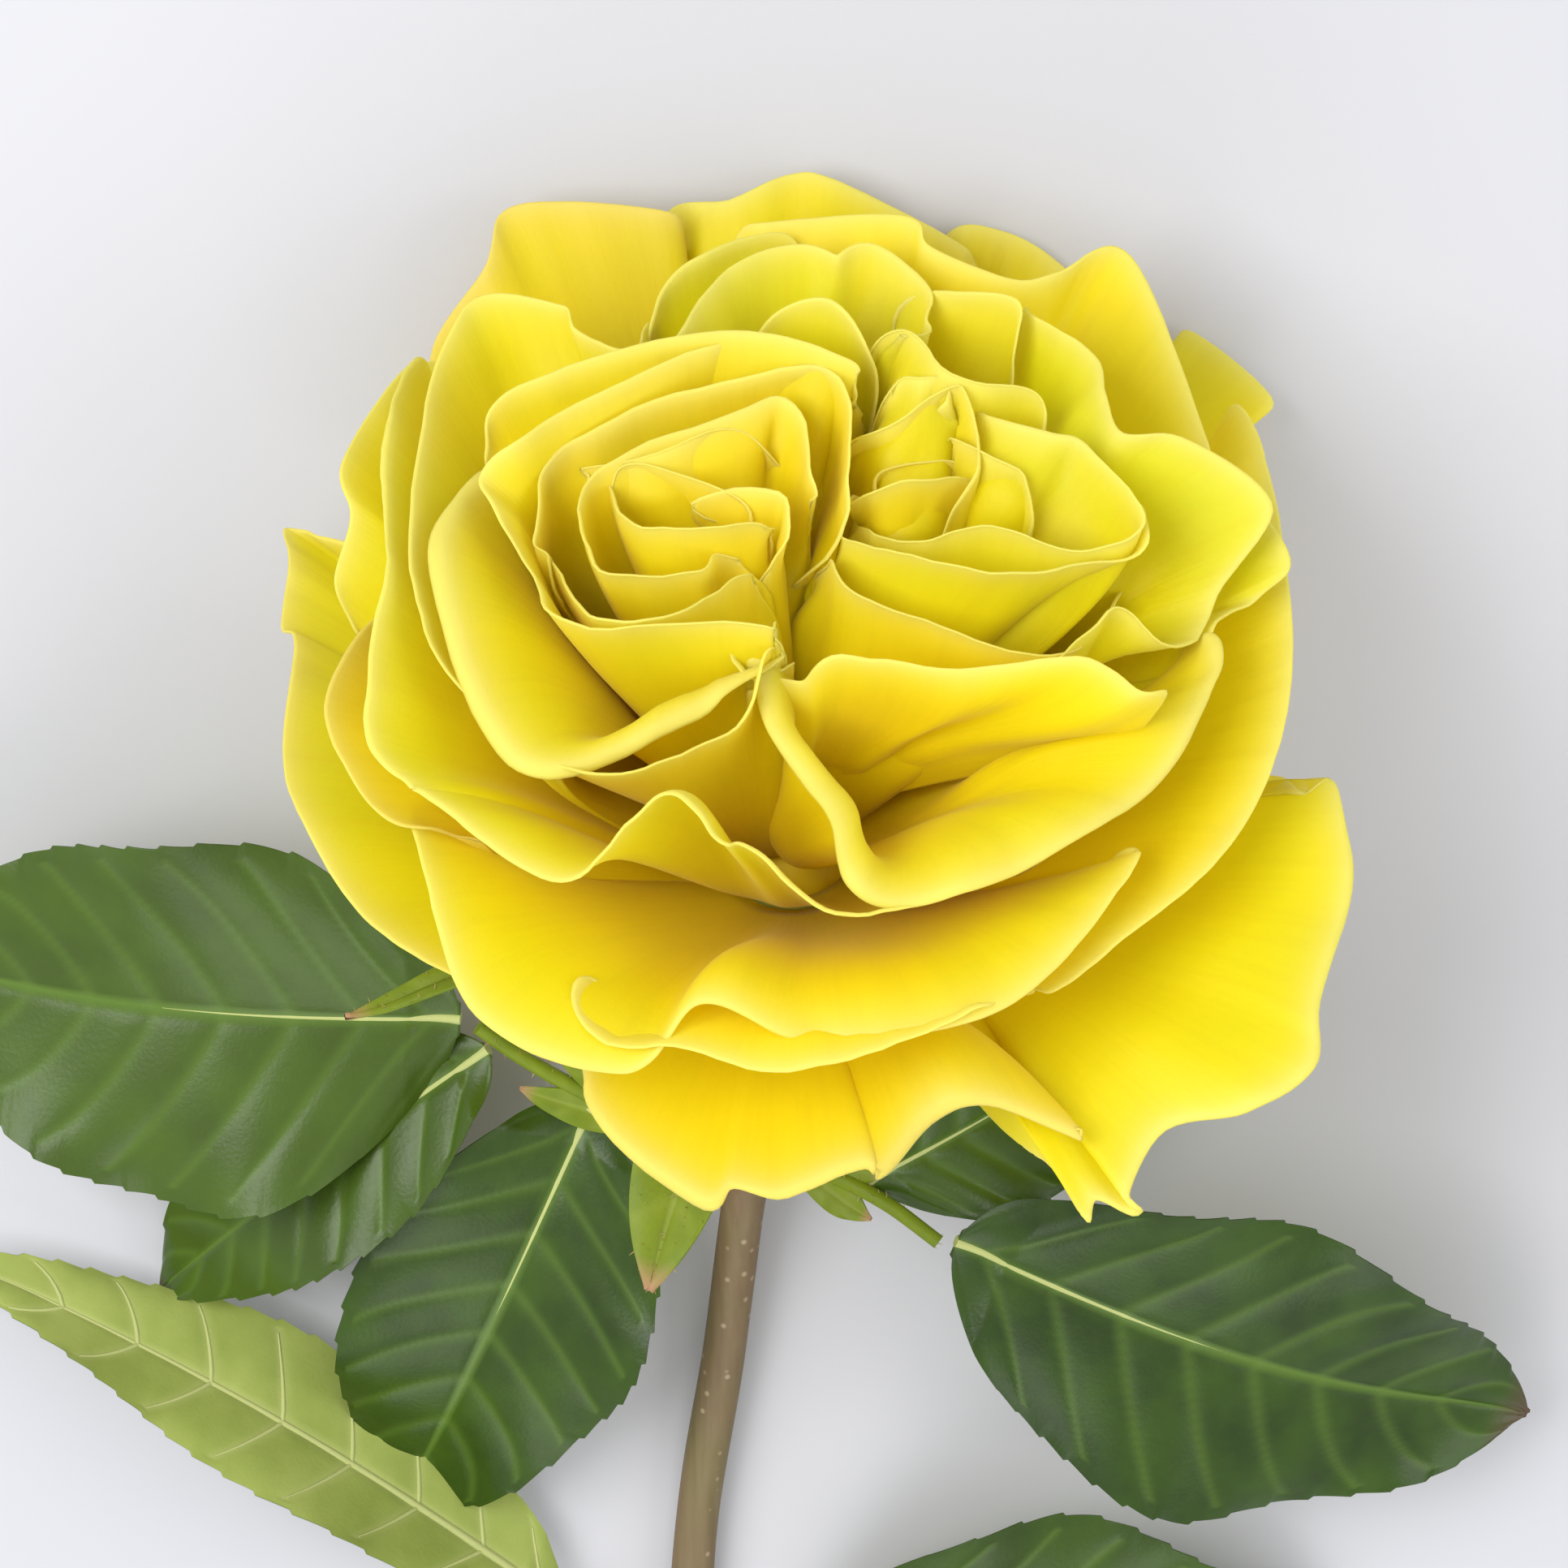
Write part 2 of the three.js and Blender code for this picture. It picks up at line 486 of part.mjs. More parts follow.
const hipOutline = [
  [0, 5], [3, 4.4], [5, 2.6], [HIP_RADIUS, -1], [HIP_RADIUS * 0.95, -5], [4.6, -10], [STEM_RADIUS, -HIP_LENGTH],
  [0, -HIP_LENGTH],
].reverse().map(([radius, height]) => new THREE.Vector2(radius, height));
const hip = new THREE.LatheGeometry(hipOutline, 12).rotateX(Math.PI / 2).applyMatrix4(TO_TABLE);
const stem = solidOf(tube(STEM_PATH, STEM_RADIUS, 18)).add(solidOf(hip));
place("stem", stem, stem, 0x6a5b3a, 0.7);

// ---- leaf stalks, leaflets and sepals ----
for (const { name, path } of STALKS) {
  place(name, solidOf(tube(path, STALK_RADIUS, 4)), solidOf(tube(path, STALK_RADIUS + GAP, 4)), 0x717c04, 0.6);
}

// A blade: an oval that narrows to both ends, folded up a little along its midrib.
function bladeSheet({ base, tip, width, arch, roll = 0, fold = 12, fullest = 0.42 }) {
  const from = new THREE.Vector3(...base);
  const to = new THREE.Vector3(...tip);
  const along = to.clone().sub(from).normalize();
  const side = new THREE.Vector3(0, 0, 1).cross(along).normalize().applyAxisAngle(along, radians(roll));
  const up = along.clone().cross(side).normalize();
  const power = Math.log(0.5) / Math.log(fullest);
  return (u, v) => {
    const t = THREE.MathUtils.clamp(THREE.MathUtils.lerp(0.01, 0.985, u), 0.001, 0.999);
    const half = (width / 2) * Math.pow(Math.sin(Math.PI * Math.pow(t, power)), 0.75);
    const across = (2 * v - 1) * half;
    const point = from.clone().lerp(to, t);
    point.addScaledVector(side, across * Math.cos(radians(fold)));
    return point.addScaledVector(up, arch * Math.sin(Math.PI * t) + Math.abs(across) * Math.sin(radians(fold)));
  };
}

function placeBlade(name, blade, thickness, matrix, colour) {
  const flat = bladeSheet(blade);
  const sheet = (u, v) => flat(u, v).applyMatrix4(matrix);
  const solid = thinSolid(sheet, evenly(9), evenly(5), () => thickness);
  const beyond = (2 * GAP) / blade.width;
  const wide = [-beyond, ...evenly(5), 1 + beyond];
  place(name, solid, thinSolid(sheet, evenly(9), wide, () => thickness + 2 * CLEARANCE), colour, 0.4);
}

for (const sepal of SEPALS) {
  placeBlade(sepal.name, { fullest: 0.3, fold: 20, ...sepal }, SEPAL_THICKNESS, TO_TABLE, 0x768610);
}
for (const leaflet of LEAFLETS) {
  placeBlade(leaflet.name, leaflet, LEAF_THICKNESS, SET_DOWN, 0x46602a);
}

export default group;
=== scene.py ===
# %% [markdown]
# # A cut garden rose, lying down
# A yellow garden rose with two hearts, on a short bent stem with three leaves. It lies on a pale
# table. Every petal, sepal, leaflet and stalk is its own piece, as it is on the real flower, and
# all of them ride on one body, because nothing in a cut flower turns or slides.
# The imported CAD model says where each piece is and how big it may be. It is loaded first and never
# changed: each fine piece made here stands for the plain CAD solid of the same name.

# %% The CAD frame
import math

import bmesh
import bpy
import numpy as np
from mathutils import Matrix, Vector, noise
from mathutils.bvhtree import BVHTree


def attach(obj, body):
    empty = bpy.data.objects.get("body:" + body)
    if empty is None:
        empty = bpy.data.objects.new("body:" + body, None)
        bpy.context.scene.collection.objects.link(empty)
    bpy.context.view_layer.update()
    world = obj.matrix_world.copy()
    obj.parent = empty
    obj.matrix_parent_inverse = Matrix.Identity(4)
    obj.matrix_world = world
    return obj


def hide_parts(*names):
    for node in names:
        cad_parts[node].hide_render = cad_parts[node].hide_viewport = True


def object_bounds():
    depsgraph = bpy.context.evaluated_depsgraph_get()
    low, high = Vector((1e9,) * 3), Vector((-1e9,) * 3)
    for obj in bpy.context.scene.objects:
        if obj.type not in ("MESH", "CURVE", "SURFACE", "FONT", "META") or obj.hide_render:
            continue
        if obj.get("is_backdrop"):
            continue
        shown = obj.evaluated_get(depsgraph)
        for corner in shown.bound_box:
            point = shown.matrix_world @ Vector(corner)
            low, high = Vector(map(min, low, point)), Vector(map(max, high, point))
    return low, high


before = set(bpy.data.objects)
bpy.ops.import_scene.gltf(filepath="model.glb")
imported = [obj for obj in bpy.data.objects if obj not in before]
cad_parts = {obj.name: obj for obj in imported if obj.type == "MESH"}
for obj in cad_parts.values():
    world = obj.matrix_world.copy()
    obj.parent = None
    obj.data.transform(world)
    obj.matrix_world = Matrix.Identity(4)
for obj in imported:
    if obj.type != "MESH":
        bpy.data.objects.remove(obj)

MM = 0.001
cad_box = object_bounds()
print("CAD nodes:", len(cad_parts), "CAD box:", cad_box)

# %% [markdown]
# ## Where the bloom is
# The bloom is easiest to describe in its own frame: x to the right, y to the back and z along the
# axis of the flower, with the middle of the receptacle (the knob that the petals grow from) at the
# origin. On the table the stem lies along -X and the bloom leans up from it by BLOOM_TILT. One
# matrix turns the bloom's frame into the table's, so no other line has to think about the tilt.

# %% The bloom's frame and the table's
BLOOM_TILT = math.radians(35)
RECEPTACLE = Vector((74.5, -8.75, 37.9))

BLOOM_RIGHT = Vector((0, -1, 0))
BLOOM_BACK = Vector((math.sin(BLOOM_TILT), 0, -math.cos(BLOOM_TILT)))
BLOOM_AXIS = Vector((math.cos(BLOOM_TILT), 0, math.sin(BLOOM_TILT)))
BLOOM_TURN = np.array([BLOOM_RIGHT, BLOOM_BACK, BLOOM_AXIS])


def bloom_to_table(points):
    """Points in the bloom's frame, in mm, as points on the table, in mm."""
    return np.asarray(points, float) @ BLOOM_TURN + np.array(RECEPTACLE)


def stem_to_table(points):
    """Points beside the receptacle but along the table's own axes, as points on the table."""
    return np.asarray(points, float) + np.array(RECEPTACLE)


print("bloom axis:", [round(x, 3) for x in BLOOM_AXIS])

# %% [markdown]
# ## Camera, light and table
# The camera looks down on the flower as it lies. A 105 mm lens half a metre away keeps the
# perspective of a close portrait. It is placed by a matrix whose columns are its right, up and
# back directions: that is exact, where aiming by angles needs trial and error.
# A big soft light above the top left gives the soft shading that a petal needs, two weaker ones
# fill from the right and from the stem's end, and the world fills the rest. "Standard" view keeps
# a strong yellow pure, where the filmic views would grey it.

# %% Camera
CAMERA_DISTANCE = 500
CAMERA_HEIGHT_ANGLE = math.radians(50)  # above the plane of the bloom's rim
LOOK_AT = (-0.8, 6.9, 5.8)
LENS = 105
SENSOR_WIDTH = 36

level, steep = math.cos(CAMERA_HEIGHT_ANGLE), math.sin(CAMERA_HEIGHT_ANGLE)
camera_back = -BLOOM_BACK * level + BLOOM_AXIS * steep
camera_up = BLOOM_BACK * steep + BLOOM_AXIS * level
camera_matrix = Matrix((BLOOM_RIGHT, camera_up, camera_back)).transposed().to_4x4()
target = Vector(bloom_to_table(LOOK_AT))
camera_matrix.translation = (target + camera_back * CAMERA_DISTANCE) * MM

camera = bpy.data.objects.new("camera", bpy.data.cameras.new("camera"))
camera.data.lens = LENS
camera.data.sensor_width = SENSOR_WIDTH
camera.data.clip_start = 0.01
camera.matrix_world = camera_matrix
bpy.context.collection.objects.link(camera)
bpy.context.scene.camera = camera
print("camera:", [round(x, 3) for x in camera.location])


# %% Colours and light
def linear(colour):
    """A hex sRGB colour, such as "#f0d21c", as the linear RGBA that Blender's nodes take."""
    parts = [int(colour[i : i + 2], 16) / 255 for i in (1, 3, 5)]
    return [c / 12.92 if c <= 0.04045 else ((c + 0.055) / 1.055) ** 2.4 for c in parts] + [1]


def add(tree, kind, inputs=None, **settings):
    """A new node of a tree. An input takes a value, or the socket that feeds it."""
    node = tree.nodes.new(kind)
    for name, value in settings.items():
        setattr(node, name, value)
    for name, value in (inputs or {}).items():
        if isinstance(value, bpy.types.NodeSocket):
            tree.links.new(value, node.inputs[name])
        else:
            node.inputs[name].default_value = value
    return node


def new_material(name):
    """A material without nodes, and its empty node tree."""
    material = bpy.data.materials.new(name)
    material.use_nodes = True
    material.node_tree.nodes.clear()
    return material, material.node_tree


def coated(tree, base, coats):
    """A colour with coats laid over it, each by its own share, from 0 to 1."""
    colour = linear(base)
    for share, coat in coats:
        laid_over = {0: share, 6: colour, 7: linear(coat)}
        colour = add(tree, "ShaderNodeMix", laid_over, data_type="RGBA").outputs[2]
    return colour


LAMPS_AIM_AT = Vector((60, 0, 40))
WORLD_STRENGTH = 0.88
LIGHTS = {
    "soft_window": {"place": (260, 330, 520), "size": 420, "power": 3.3},
    "right_fill": {"place": (60, -480, 380), "size": 380, "power": 1.1},
    "stem_fill": {"place": (-420, 60, 420), "size": 380, "power": 0.9},
}
for name, light in LIGHTS.items():
    lamp = bpy.data.lights.new(name, "AREA")
    lamp.size = light["size"] * MM
    lamp.energy = light["power"]
    lamp_object = bpy.data.objects.new(name, lamp)
    lamp_object.location = Vector(light["place"]) * MM
    to_bloom = LAMPS_AIM_AT * MM - lamp_object.location
    lamp_object.rotation_euler = to_bloom.to_track_quat("-Z", "Y").to_euler()
    bpy.context.collection.objects.link(lamp_object)

world = bpy.data.worlds.new("pale_room")
world.use_nodes = True
sky = world.node_tree.nodes["Background"].inputs
sky["Color"].default_value = linear("#f2f3f6")
sky["Strength"].default_value = WORLD_STRENGTH
bpy.context.scene.world = world
bpy.context.scene.view_settings.view_transform = "Standard"
print("lights:", ", ".join(LIGHTS))

# %% [markdown]
# ## The table
# A plain pale sheet that is much bigger than the view. Its finish is matt painted board: a faint
# cloudiness in the colour keeps it from looking like a flat fill.

# %% Table
TABLE_SIZE = 12.0
painted_board, tree = new_material("matt_painted_board")
where = add(tree, "ShaderNodeTexCoord").outputs["Object"]
cloud = add(tree, "ShaderNodeTexNoise", {"Vector": where, "Scale": 4.0}).outputs["Fac"]
board_colour = coated(tree, "#bdbdc1", [(cloud, "#c2c2c6")])
board = add(tree, "ShaderNodeBsdfPrincipled", {"Base Color": board_colour, "Roughness": 0.85})
add(tree, "ShaderNodeOutputMaterial", {"Surface": board.outputs[0]})

half = TABLE_SIZE / 2
table_mesh = bpy.data.meshes.new("table")
corners = [(-half, -half, 0), (half, -half, 0), (half, half, 0), (-half, half, 0)]
table_mesh.from_pydata(corners, [], [(0, 1, 2, 3)])
table_mesh.materials.append(painted_board)
table = bpy.data.objects.new("table", table_mesh)
bpy.context.collection.objects.link(table)
table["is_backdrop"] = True
print("table:", TABLE_SIZE, "m wide")

# %% [markdown]
# ## Petal skin
# A rose petal is a film of living cells about a third of a millimetre thick. Its skin is covered
# in tiny domes, which gives the soft sheen of velvet with no sharp highlight, and light that goes
# in comes out on the other side, so a petal glows deeper yellow where light crosses several of
# them. That is a rough Principled surface with a little sheen, mixed with Translucent.
# Fine streaks run from the root to the rim, because the veins do. The petal carries a UV map in
# metres, across and along, so the streaks follow each petal however it curls. Attributes say how
# near a point is to the rim, for a painted highlight there, how far it is from the root (reach),
# and how green or sun-warmed the petal is. The colour is built up in coats, each laid over the
# last by its own share. Two coats are painted light: a pale band along the rim is a painted
# highlight, and a deeper yellow towards the root is painted shade.

# %% Petal skin material
STREAK_WIDTH = 0.8 * MM
STREAK_LENGTH = 14 * MM
PATCH_WIDTH = 16 * MM
CELL_WIDTH = 0.35 * MM  # real cells are a tenth of this; drawn coarser so that the velvet shows

petal_skin, tree = new_material("living_petal_velvet_skin")
green, rim_highlight, reach, warm = [
    add(tree, "ShaderNodeAttribute", attribute_name=mark).outputs["Fac"]
    for mark in ("green", "rim_highlight", "reach", "warm")
]
along = add(tree, "ShaderNodeUVMap", uv_map="along_petal").outputs["UV"]
where = add(tree, "ShaderNodeTexCoord").outputs["Object"]
stretch = (1 / STREAK_WIDTH, 1 / STREAK_LENGTH, 1)
stretched = add(tree, "ShaderNodeMapping", {"Vector": along, "Scale": stretch}).outputs[0]
streaks, patches, cells = [
    add(tree, "ShaderNodeTexNoise", {"Vector": place, "Scale": scale, "Detail": detail}).outputs["Fac"]
    for place, scale, detail in (
        (stretched, 1.0, 3.0),
        (where, 1 / PATCH_WIDTH, 2.0),
        (where, 1 / CELL_WIDTH, 1.0),
    )
]

greener = add(tree, "ShaderNodeMath", {0: patches, 1: 0.9, 2: -0.45}, operation="MULTIPLY_ADD")
green_share = add(
    tree, "ShaderNodeMath", {0: green, 1: greener.outputs[0]}, operation="ADD", use_clamp=True
).outputs[0]
# Painted shade: the petal's colour deepens towards its root, where the bloom is deepest.
root_shade_share = add(
    tree,
    "ShaderNodeMapRange",
    {"Value": reach, "From Min": 0.35, "From Max": 0.9, "To Min": 0.45, "To Max": 0.0},
).outputs[0]
streak_share = add(
    tree,
    "ShaderNodeMapRange",
    {"Value": streaks, "From Min": 0.45, "From Max": 0.75, "To Min": 0.0, "To Max": 0.3},
).outputs[0]
colour = coated(tree, "#fcec07", [
    (green_share, "#ebea12"),  # young and green
    (root_shade_share, "#fbdf06"),  # painted shade: a deeper yellow towards the root, deep in the bloom
    (streak_share, "#f0e00c"),  # fine veins
    (rim_highlight, "#f8f28c"),  # painted highlight: a pale band along the rolled rim
    (warm, "#eebb5c"),  # ripened rims
])
streak_bump = add(
    tree, "ShaderNodeBump", {"Height": streaks, "Strength": 0.35, "Distance": 0.15 * MM}
).outputs[0]
skin_bump = add(
    tree,
    "ShaderNodeBump",
    {"Height": cells, "Strength": 0.25, "Distance": 0.05 * MM, "Normal": streak_bump},
).outputs[0]
velvet = add(
    tree,
    "ShaderNodeBsdfPrincipled",
    {
        "Base Color": colour,
        "Roughness": 0.5,
        "Specular IOR Level": 0.35,
        "Sheen Weight": 0.12,
        "Sheen Roughness": 0.45,
        "Normal": skin_bump,
    },
).outputs[0]
glow = add(tree, "ShaderNodeBsdfTranslucent", {"Color": colour, "Normal": skin_bump}).outputs[0]
petal_surface = add(tree, "ShaderNodeMixShader", {0: 0.5, 1: velvet, 2: glow})
add(tree, "ShaderNodeOutputMaterial", {"Surface": petal_surface.outputs[0]})
print("petal skin nodes:", len(tree.nodes))

# %% [markdown]
# ## Leaf skin
# A rose leaf is leathery. Its upper face has a waxy skin over dark green, with lighter veins
# pressed into it, and its under face is matt and pale. Both faces are one closed piece here, so a
# face attribute called under tells the material which side it is colouring, and vein says how
# close a vein is. The wax is a low roughness with a fine unevenness, so that highlights break up.

# %% Leaf skin material
LEAF_PATCH = 9 * MM
LEAF_GRAIN = 0.5 * MM

leaf_skin, tree = new_material("waxy_rose_leaf_skin")
under, vein, dry, young_and_lit = [
    add(tree, "ShaderNodeAttribute", attribute_name=mark).outputs["Fac"]
    for mark in ("under", "vein", "dry", "young_and_lit")
]
where = add(tree, "ShaderNodeTexCoord").outputs["Object"]
patches, grain = [
    add(tree, "ShaderNodeTexNoise", {"Vector": where, "Scale": scale, "Detail": detail}).outputs["Fac"]
    for scale, detail in ((1 / LEAF_PATCH, 3.0), (1 / LEAF_GRAIN, 2.0))
]
blotch = add(
    tree, "ShaderNodeMapRange", {"Value": patches, "From Min": 0.3, "From Max": 0.7}
).outputs[0]
# One coat lightens the upper green by a share given per leaflet: partly a younger leaf's own lighter
# green, partly painted light on the leaflets that lie nearer the lamp.
upper = coated(tree, "#1e3508", [(blotch, "#34500e"), (young_and_lit, "#627a28"), (vein, "#5d7a2c")])
lower = coated(tree, "#8c9c45", [(blotch, "#a3b05a"), (vein, "#bcc37c")])
both = add(tree, "ShaderNodeMix", {0: under, 6: upper, 7: lower}, data_type="RGBA").outputs[2]
tipped = add(
    tree, "ShaderNodeMix", {0: dry, 6: both, 7: linear("#5b4636")}, data_type="RGBA"
).outputs[2]
gloss = add(
    tree, "ShaderNodeMapRange", {"Value": under, "To Min": 0.26, "To Max": 0.7}
).outputs[0]
uneven_gloss = add(
    tree, "ShaderNodeMath", {0: grain, 1: 0.12, 2: gloss}, operation="MULTIPLY_ADD"
).outputs[0]
leaf_bump = add(tree, "ShaderNodeBump", {"Height": grain, "Strength": 0.3, "Distance": 0.12 * MM})
wax = add(
    tree,
    "ShaderNodeBsdfPrincipled",
    {
        "Base Color": tipped,
        "Roughness": uneven_gloss,
        "Specular IOR Level": 0.35,
        "Normal": leaf_bump.outputs[0],
    },
).outputs[0]
leaf_glow = add(tree, "ShaderNodeBsdfTranslucent", {"Color": tipped}).outputs[0]
leaf_surface = add(tree, "ShaderNodeMixShader", {0: 0.15, 1: wax, 2: leaf_glow})
add(tree, "ShaderNodeOutputMaterial", {"Surface": leaf_surface.outputs[0]})
print("leaf skin nodes:", len(tree.nodes))

# %% [markdown]
# ## Stem bark
# The stem of a garden rose is green under a thin reddish brown bark, streaked lengthwise and dotted
# with pale pores. Its cut end shows pale wood, and the hip at its other end is green, with a yellow
# disc where the petals stand. The material tells those parts by how far along the stem, or along
# the axis of the bloom, a point is.

# %% Bark material
PORE_SPACING = 2.2 * MM
CUT_PLANE = cad_box[0].x + 0.6 * MM
FIBRE_SCALE = (90, 900, 900)
HIP_FROM, HIP_TO = -18 * MM, -12 * MM
DISC_TO = 1.5 * MM

stem_bark, tree = new_material("young_rose_wood_bark")
where = add(tree, "ShaderNodeTexCoord").outputs["Object"]
drawn_out = add(tree, "ShaderNodeMapping", {"Vector": where, "Scale": FIBRE_SCALE}).outputs[0]
fibres, blush = [
    add(tree, "ShaderNodeTexNoise", {"Vector": place, "Scale": scale, "Detail": detail}).outputs["Fac"]
    for place, scale, detail in ((drawn_out, 1.0, 4.0), (where, 60.0, 2.0))
]
pores = add(
    tree, "ShaderNodeTexVoronoi", {"Vector": where, "Scale": 1 / PORE_SPACING}
).outputs["Distance"]
pore_share = add(
    tree,
    "ShaderNodeMapRange",
    {"Value": pores, "From Min": 0.08, "From Max": 0.2, "To Min": 0.6, "To Max": 0.0},
).outputs[0]
blush_share = add(
    tree, "ShaderNodeMapRange", {"Value": blush, "From Min": 0.35, "From Max": 0.65}
).outputs[0]
place_x = add(tree, "ShaderNodeSeparateXYZ", {0: where}).outputs["X"]
is_cut = add(
    tree, "ShaderNodeMath", {0: place_x, 1: CUT_PLANE}, operation="LESS_THAN"
).outputs[0]
from_receptacle = add(
    tree, "ShaderNodeVectorMath", {0: where, 1: tuple(RECEPTACLE * MM)}, operation="SUBTRACT"
).outputs[0]
up_axis = add(
    tree,
    "ShaderNodeVectorMath",
    {0: from_receptacle, 1: tuple(BLOOM_AXIS)},
    operation="DOT_PRODUCT",
).outputs["Value"]
hip_share, disc_share = [
    add(tree, "ShaderNodeMapRange", {"Value": up_axis, "From Min": low, "From Max": high}).outputs[0]
    for low, high in ((HIP_FROM, HIP_TO), (0.0, DISC_TO))
]
colour = coated(tree, "#5a5428", [
    (blush_share, "#6a4636"),
    (fibres, "#7c6c4c"),
    (pore_share, "#b3a184"),
    (is_cut, "#c9c48e"),
    (hip_share, "#6f7d1e"),
    (disc_share, "#f2d30a"),
])
bark_bump = add(tree, "ShaderNodeBump", {"Height": fibres, "Strength": 0.5, "Distance": 0.2 * MM})
bark = add(
    tree,
    "ShaderNodeBsdfPrincipled",
    {"Base Color": colour, "Roughness": 0.6, "Normal": bark_bump.outputs[0]},
)
add(tree, "ShaderNodeOutputMaterial", {"Surface": bark.outputs[0]})
print("bark nodes:", len(tree.nodes))

# %% [markdown]
# ## Young skin and hair
# The stalks and sepals are younger than the stem, so they are yellow green, with dry reddish tips.
# Both carry short hairs, tipped with a reddish gland.

# %% Stalk and hair materials
young_skin, tree = new_material("young_green_stalk_skin")
under, vein, dry = [
    add(tree, "ShaderNodeAttribute", attribute_name=mark).outputs["Fac"]
    for mark in ("under", "vein", "dry")
]
where = add(tree, "ShaderNodeTexCoord").outputs["Object"]
flush, fine = [
    add(tree, "ShaderNodeTexNoise", {"Vector": where, "Scale": scale, "Detail": detail}).outputs["Fac"]
    for scale, detail in ((220.0, 3.0), (1600.0, 2.0))
]
coats = [(flush, "#7d8c1c"), (under, "#53640f"), (vein, "#7d8b30"), (dry, "#a07a5a")]
colour = coated(tree, "#546a0e", coats)
young_bump = add(tree, "ShaderNodeBump", {"Height": fine, "Strength": 0.35, "Distance": 0.1 * MM})
young = add(
    tree,
    "ShaderNodeBsdfPrincipled",
    {
        "Base Color": colour,
        "Roughness": 0.5,
        "Specular IOR Level": 0.25,
        "Normal": young_bump.outputs[0],
    },
)
add(tree, "ShaderNodeOutputMaterial", {"Surface": young.outputs[0]})

gland_hair, tree = new_material("glandular_rose_hair")
where = add(tree, "ShaderNodeTexCoord").outputs["Object"]
hue = add(tree, "ShaderNodeTexNoise", {"Vector": where, "Scale": 400.0}).outputs["Fac"]
hair_colour = coated(tree, "#a9ac62", [(hue, "#a8694a")])
hair = add(tree, "ShaderNodeBsdfPrincipled", {"Base Color": hair_colour, "Roughness": 0.45})
add(tree, "ShaderNodeOutputMaterial", {"Surface": hair.outputs[0]})
print("materials:", [m.name for m in bpy.data.materials])

# %% [markdown]
# ## How a petal is made
# A real petal is a sheet that springs from the receptacle, rises, and leans out at its rim. So a
# petal is drawn by its rim alone: a handful of points, each [right, back, height, flare], in mm
# from the middle of the receptacle, with flare as how far the rim leans out there, in degrees. The
# sheet between root and rim is a bundle of Bezier curves, one for every place along the rim, which
# is how a sail maker thinks of a sail. A box-modelled petal would need hundreds of points moved by
# hand, and a cloth simulation would not land where each petal of this flower is.
# The flower has four families of petals. Each heart has its own root and its own middle, and later
# layers of a family spring further out and lower, and lean further from the axis.

# %% Petal families and the petal sheet
# Each family has the middle of its root and of its rim, seen along the axis. Its petals spring at a
# radius from the root's middle that grows by pitch with every layer, from a height that starts at
# top and drops with every layer, and lean out by spread and open more degrees with every layer.
HEARTS = {
    "left": dict(
        root=(-3, 1.5), rim=(-11, 13), radius=1, pitch=0.4, top=8, drop=0.35, spread=8, open=3),
    "right": dict(
        root=(3.4, 2.2), rim=(14, 18), radius=1, pitch=0.4, top=8, drop=0.35, spread=8, open=3),
    "front": dict(
        root=(1.5, -3), rim=(18, -9), radius=1, pitch=0.8, top=7, drop=0.8, spread=20, open=25),
    "whole": dict(
        root=(0, 0), rim=(0, 4), radius=4.6, pitch=0.2, top=11, drop=0.85, spread=0, open=5),
}
LEAVING = 0.4  # how much of its length a petal keeps the direction it leaves its root in
ARRIVING = 0.3  # and the direction it arrives at its rim in


def smooth_at(points, places):
    """A smooth curve through a list of points with any number of parts, at places from 0 to 1."""
    points = np.asarray(points, float)
    padded = np.vstack([2 * points[0] - points[1], points, 2 * points[-1] - points[-2]])
    spans = len(points) - 1
    span = np.clip((np.asarray(places) * spans).astype(int), 0, spans - 1)
    f = (np.asarray(places) * spans - span)[:, None]
    a, b, c, d = (padded[span + k] for k in range(4))
    slope = (c - a) / 2
    square = (2 * a - 5 * b + 4 * c - d) / 2
    cube = (3 * b - a - 3 * c + d) / 2
    return b + slope * f + square * f**2 + cube * f**3


def unit(vectors):
    """The vectors, one per row, at length 1."""
    lengths = np.linalg.norm(vectors, axis=-1, keepdims=True)
    return vectors / np.maximum(lengths, 1e-9)


def petal_sheet(heart, layer, rim, across, up):
    """A grid of points on a petal, in the bloom's frame: across from 0 to 1 along the rim, up from
    0 at the root to 1 at the rim."""
    family = HEARTS[heart]
    lean = math.radians(family["spread"] + family["open"] * layer)
    spring_radius = family["radius"] + family["pitch"] * layer
    middle = np.array([*family["rim"], 0])
    rim_angles = np.unwrap([math.atan2(p[1] - middle[1], p[0] - middle[0]) for p in rim])
    drawn = smooth_at(rim, across)
    edge, flare = drawn[:, :3], np.radians(drawn[:, 3:4])
    out = edge - middle
    out[:, 2] = 0
    out = unit(out)
    turn = rim_angles[0] + (rim_angles[-1] - rim_angles[0]) * across
    away = np.stack([np.cos(turn), np.sin(turn), np.zeros_like(turn)], axis=1)
    axis = np.array([0, 0, 1.0])
    spring_height = family["top"] - family["drop"] * layer
    start = np.array([*family["root"], spring_height]) + away * spring_radius
    length = np.linalg.norm(edge - start, axis=1, keepdims=True)
    leave = start + LEAVING * length * (away * math.sin(lean) + axis * math.cos(lean))
    arrive = edge - ARRIVING * length * (out * np.sin(flare) + axis * np.cos(flare))
    v = np.asarray(up)[None, :, None]
    corners = [p[:, None, :] for p in (start, leave, arrive, edge)]
    weights = [(1 - v) ** 3, 3 * v * (1 - v) ** 2, 3 * v**2 * (1 - v), v**3]
    return sum(w * p for w, p in zip(weights, corners))


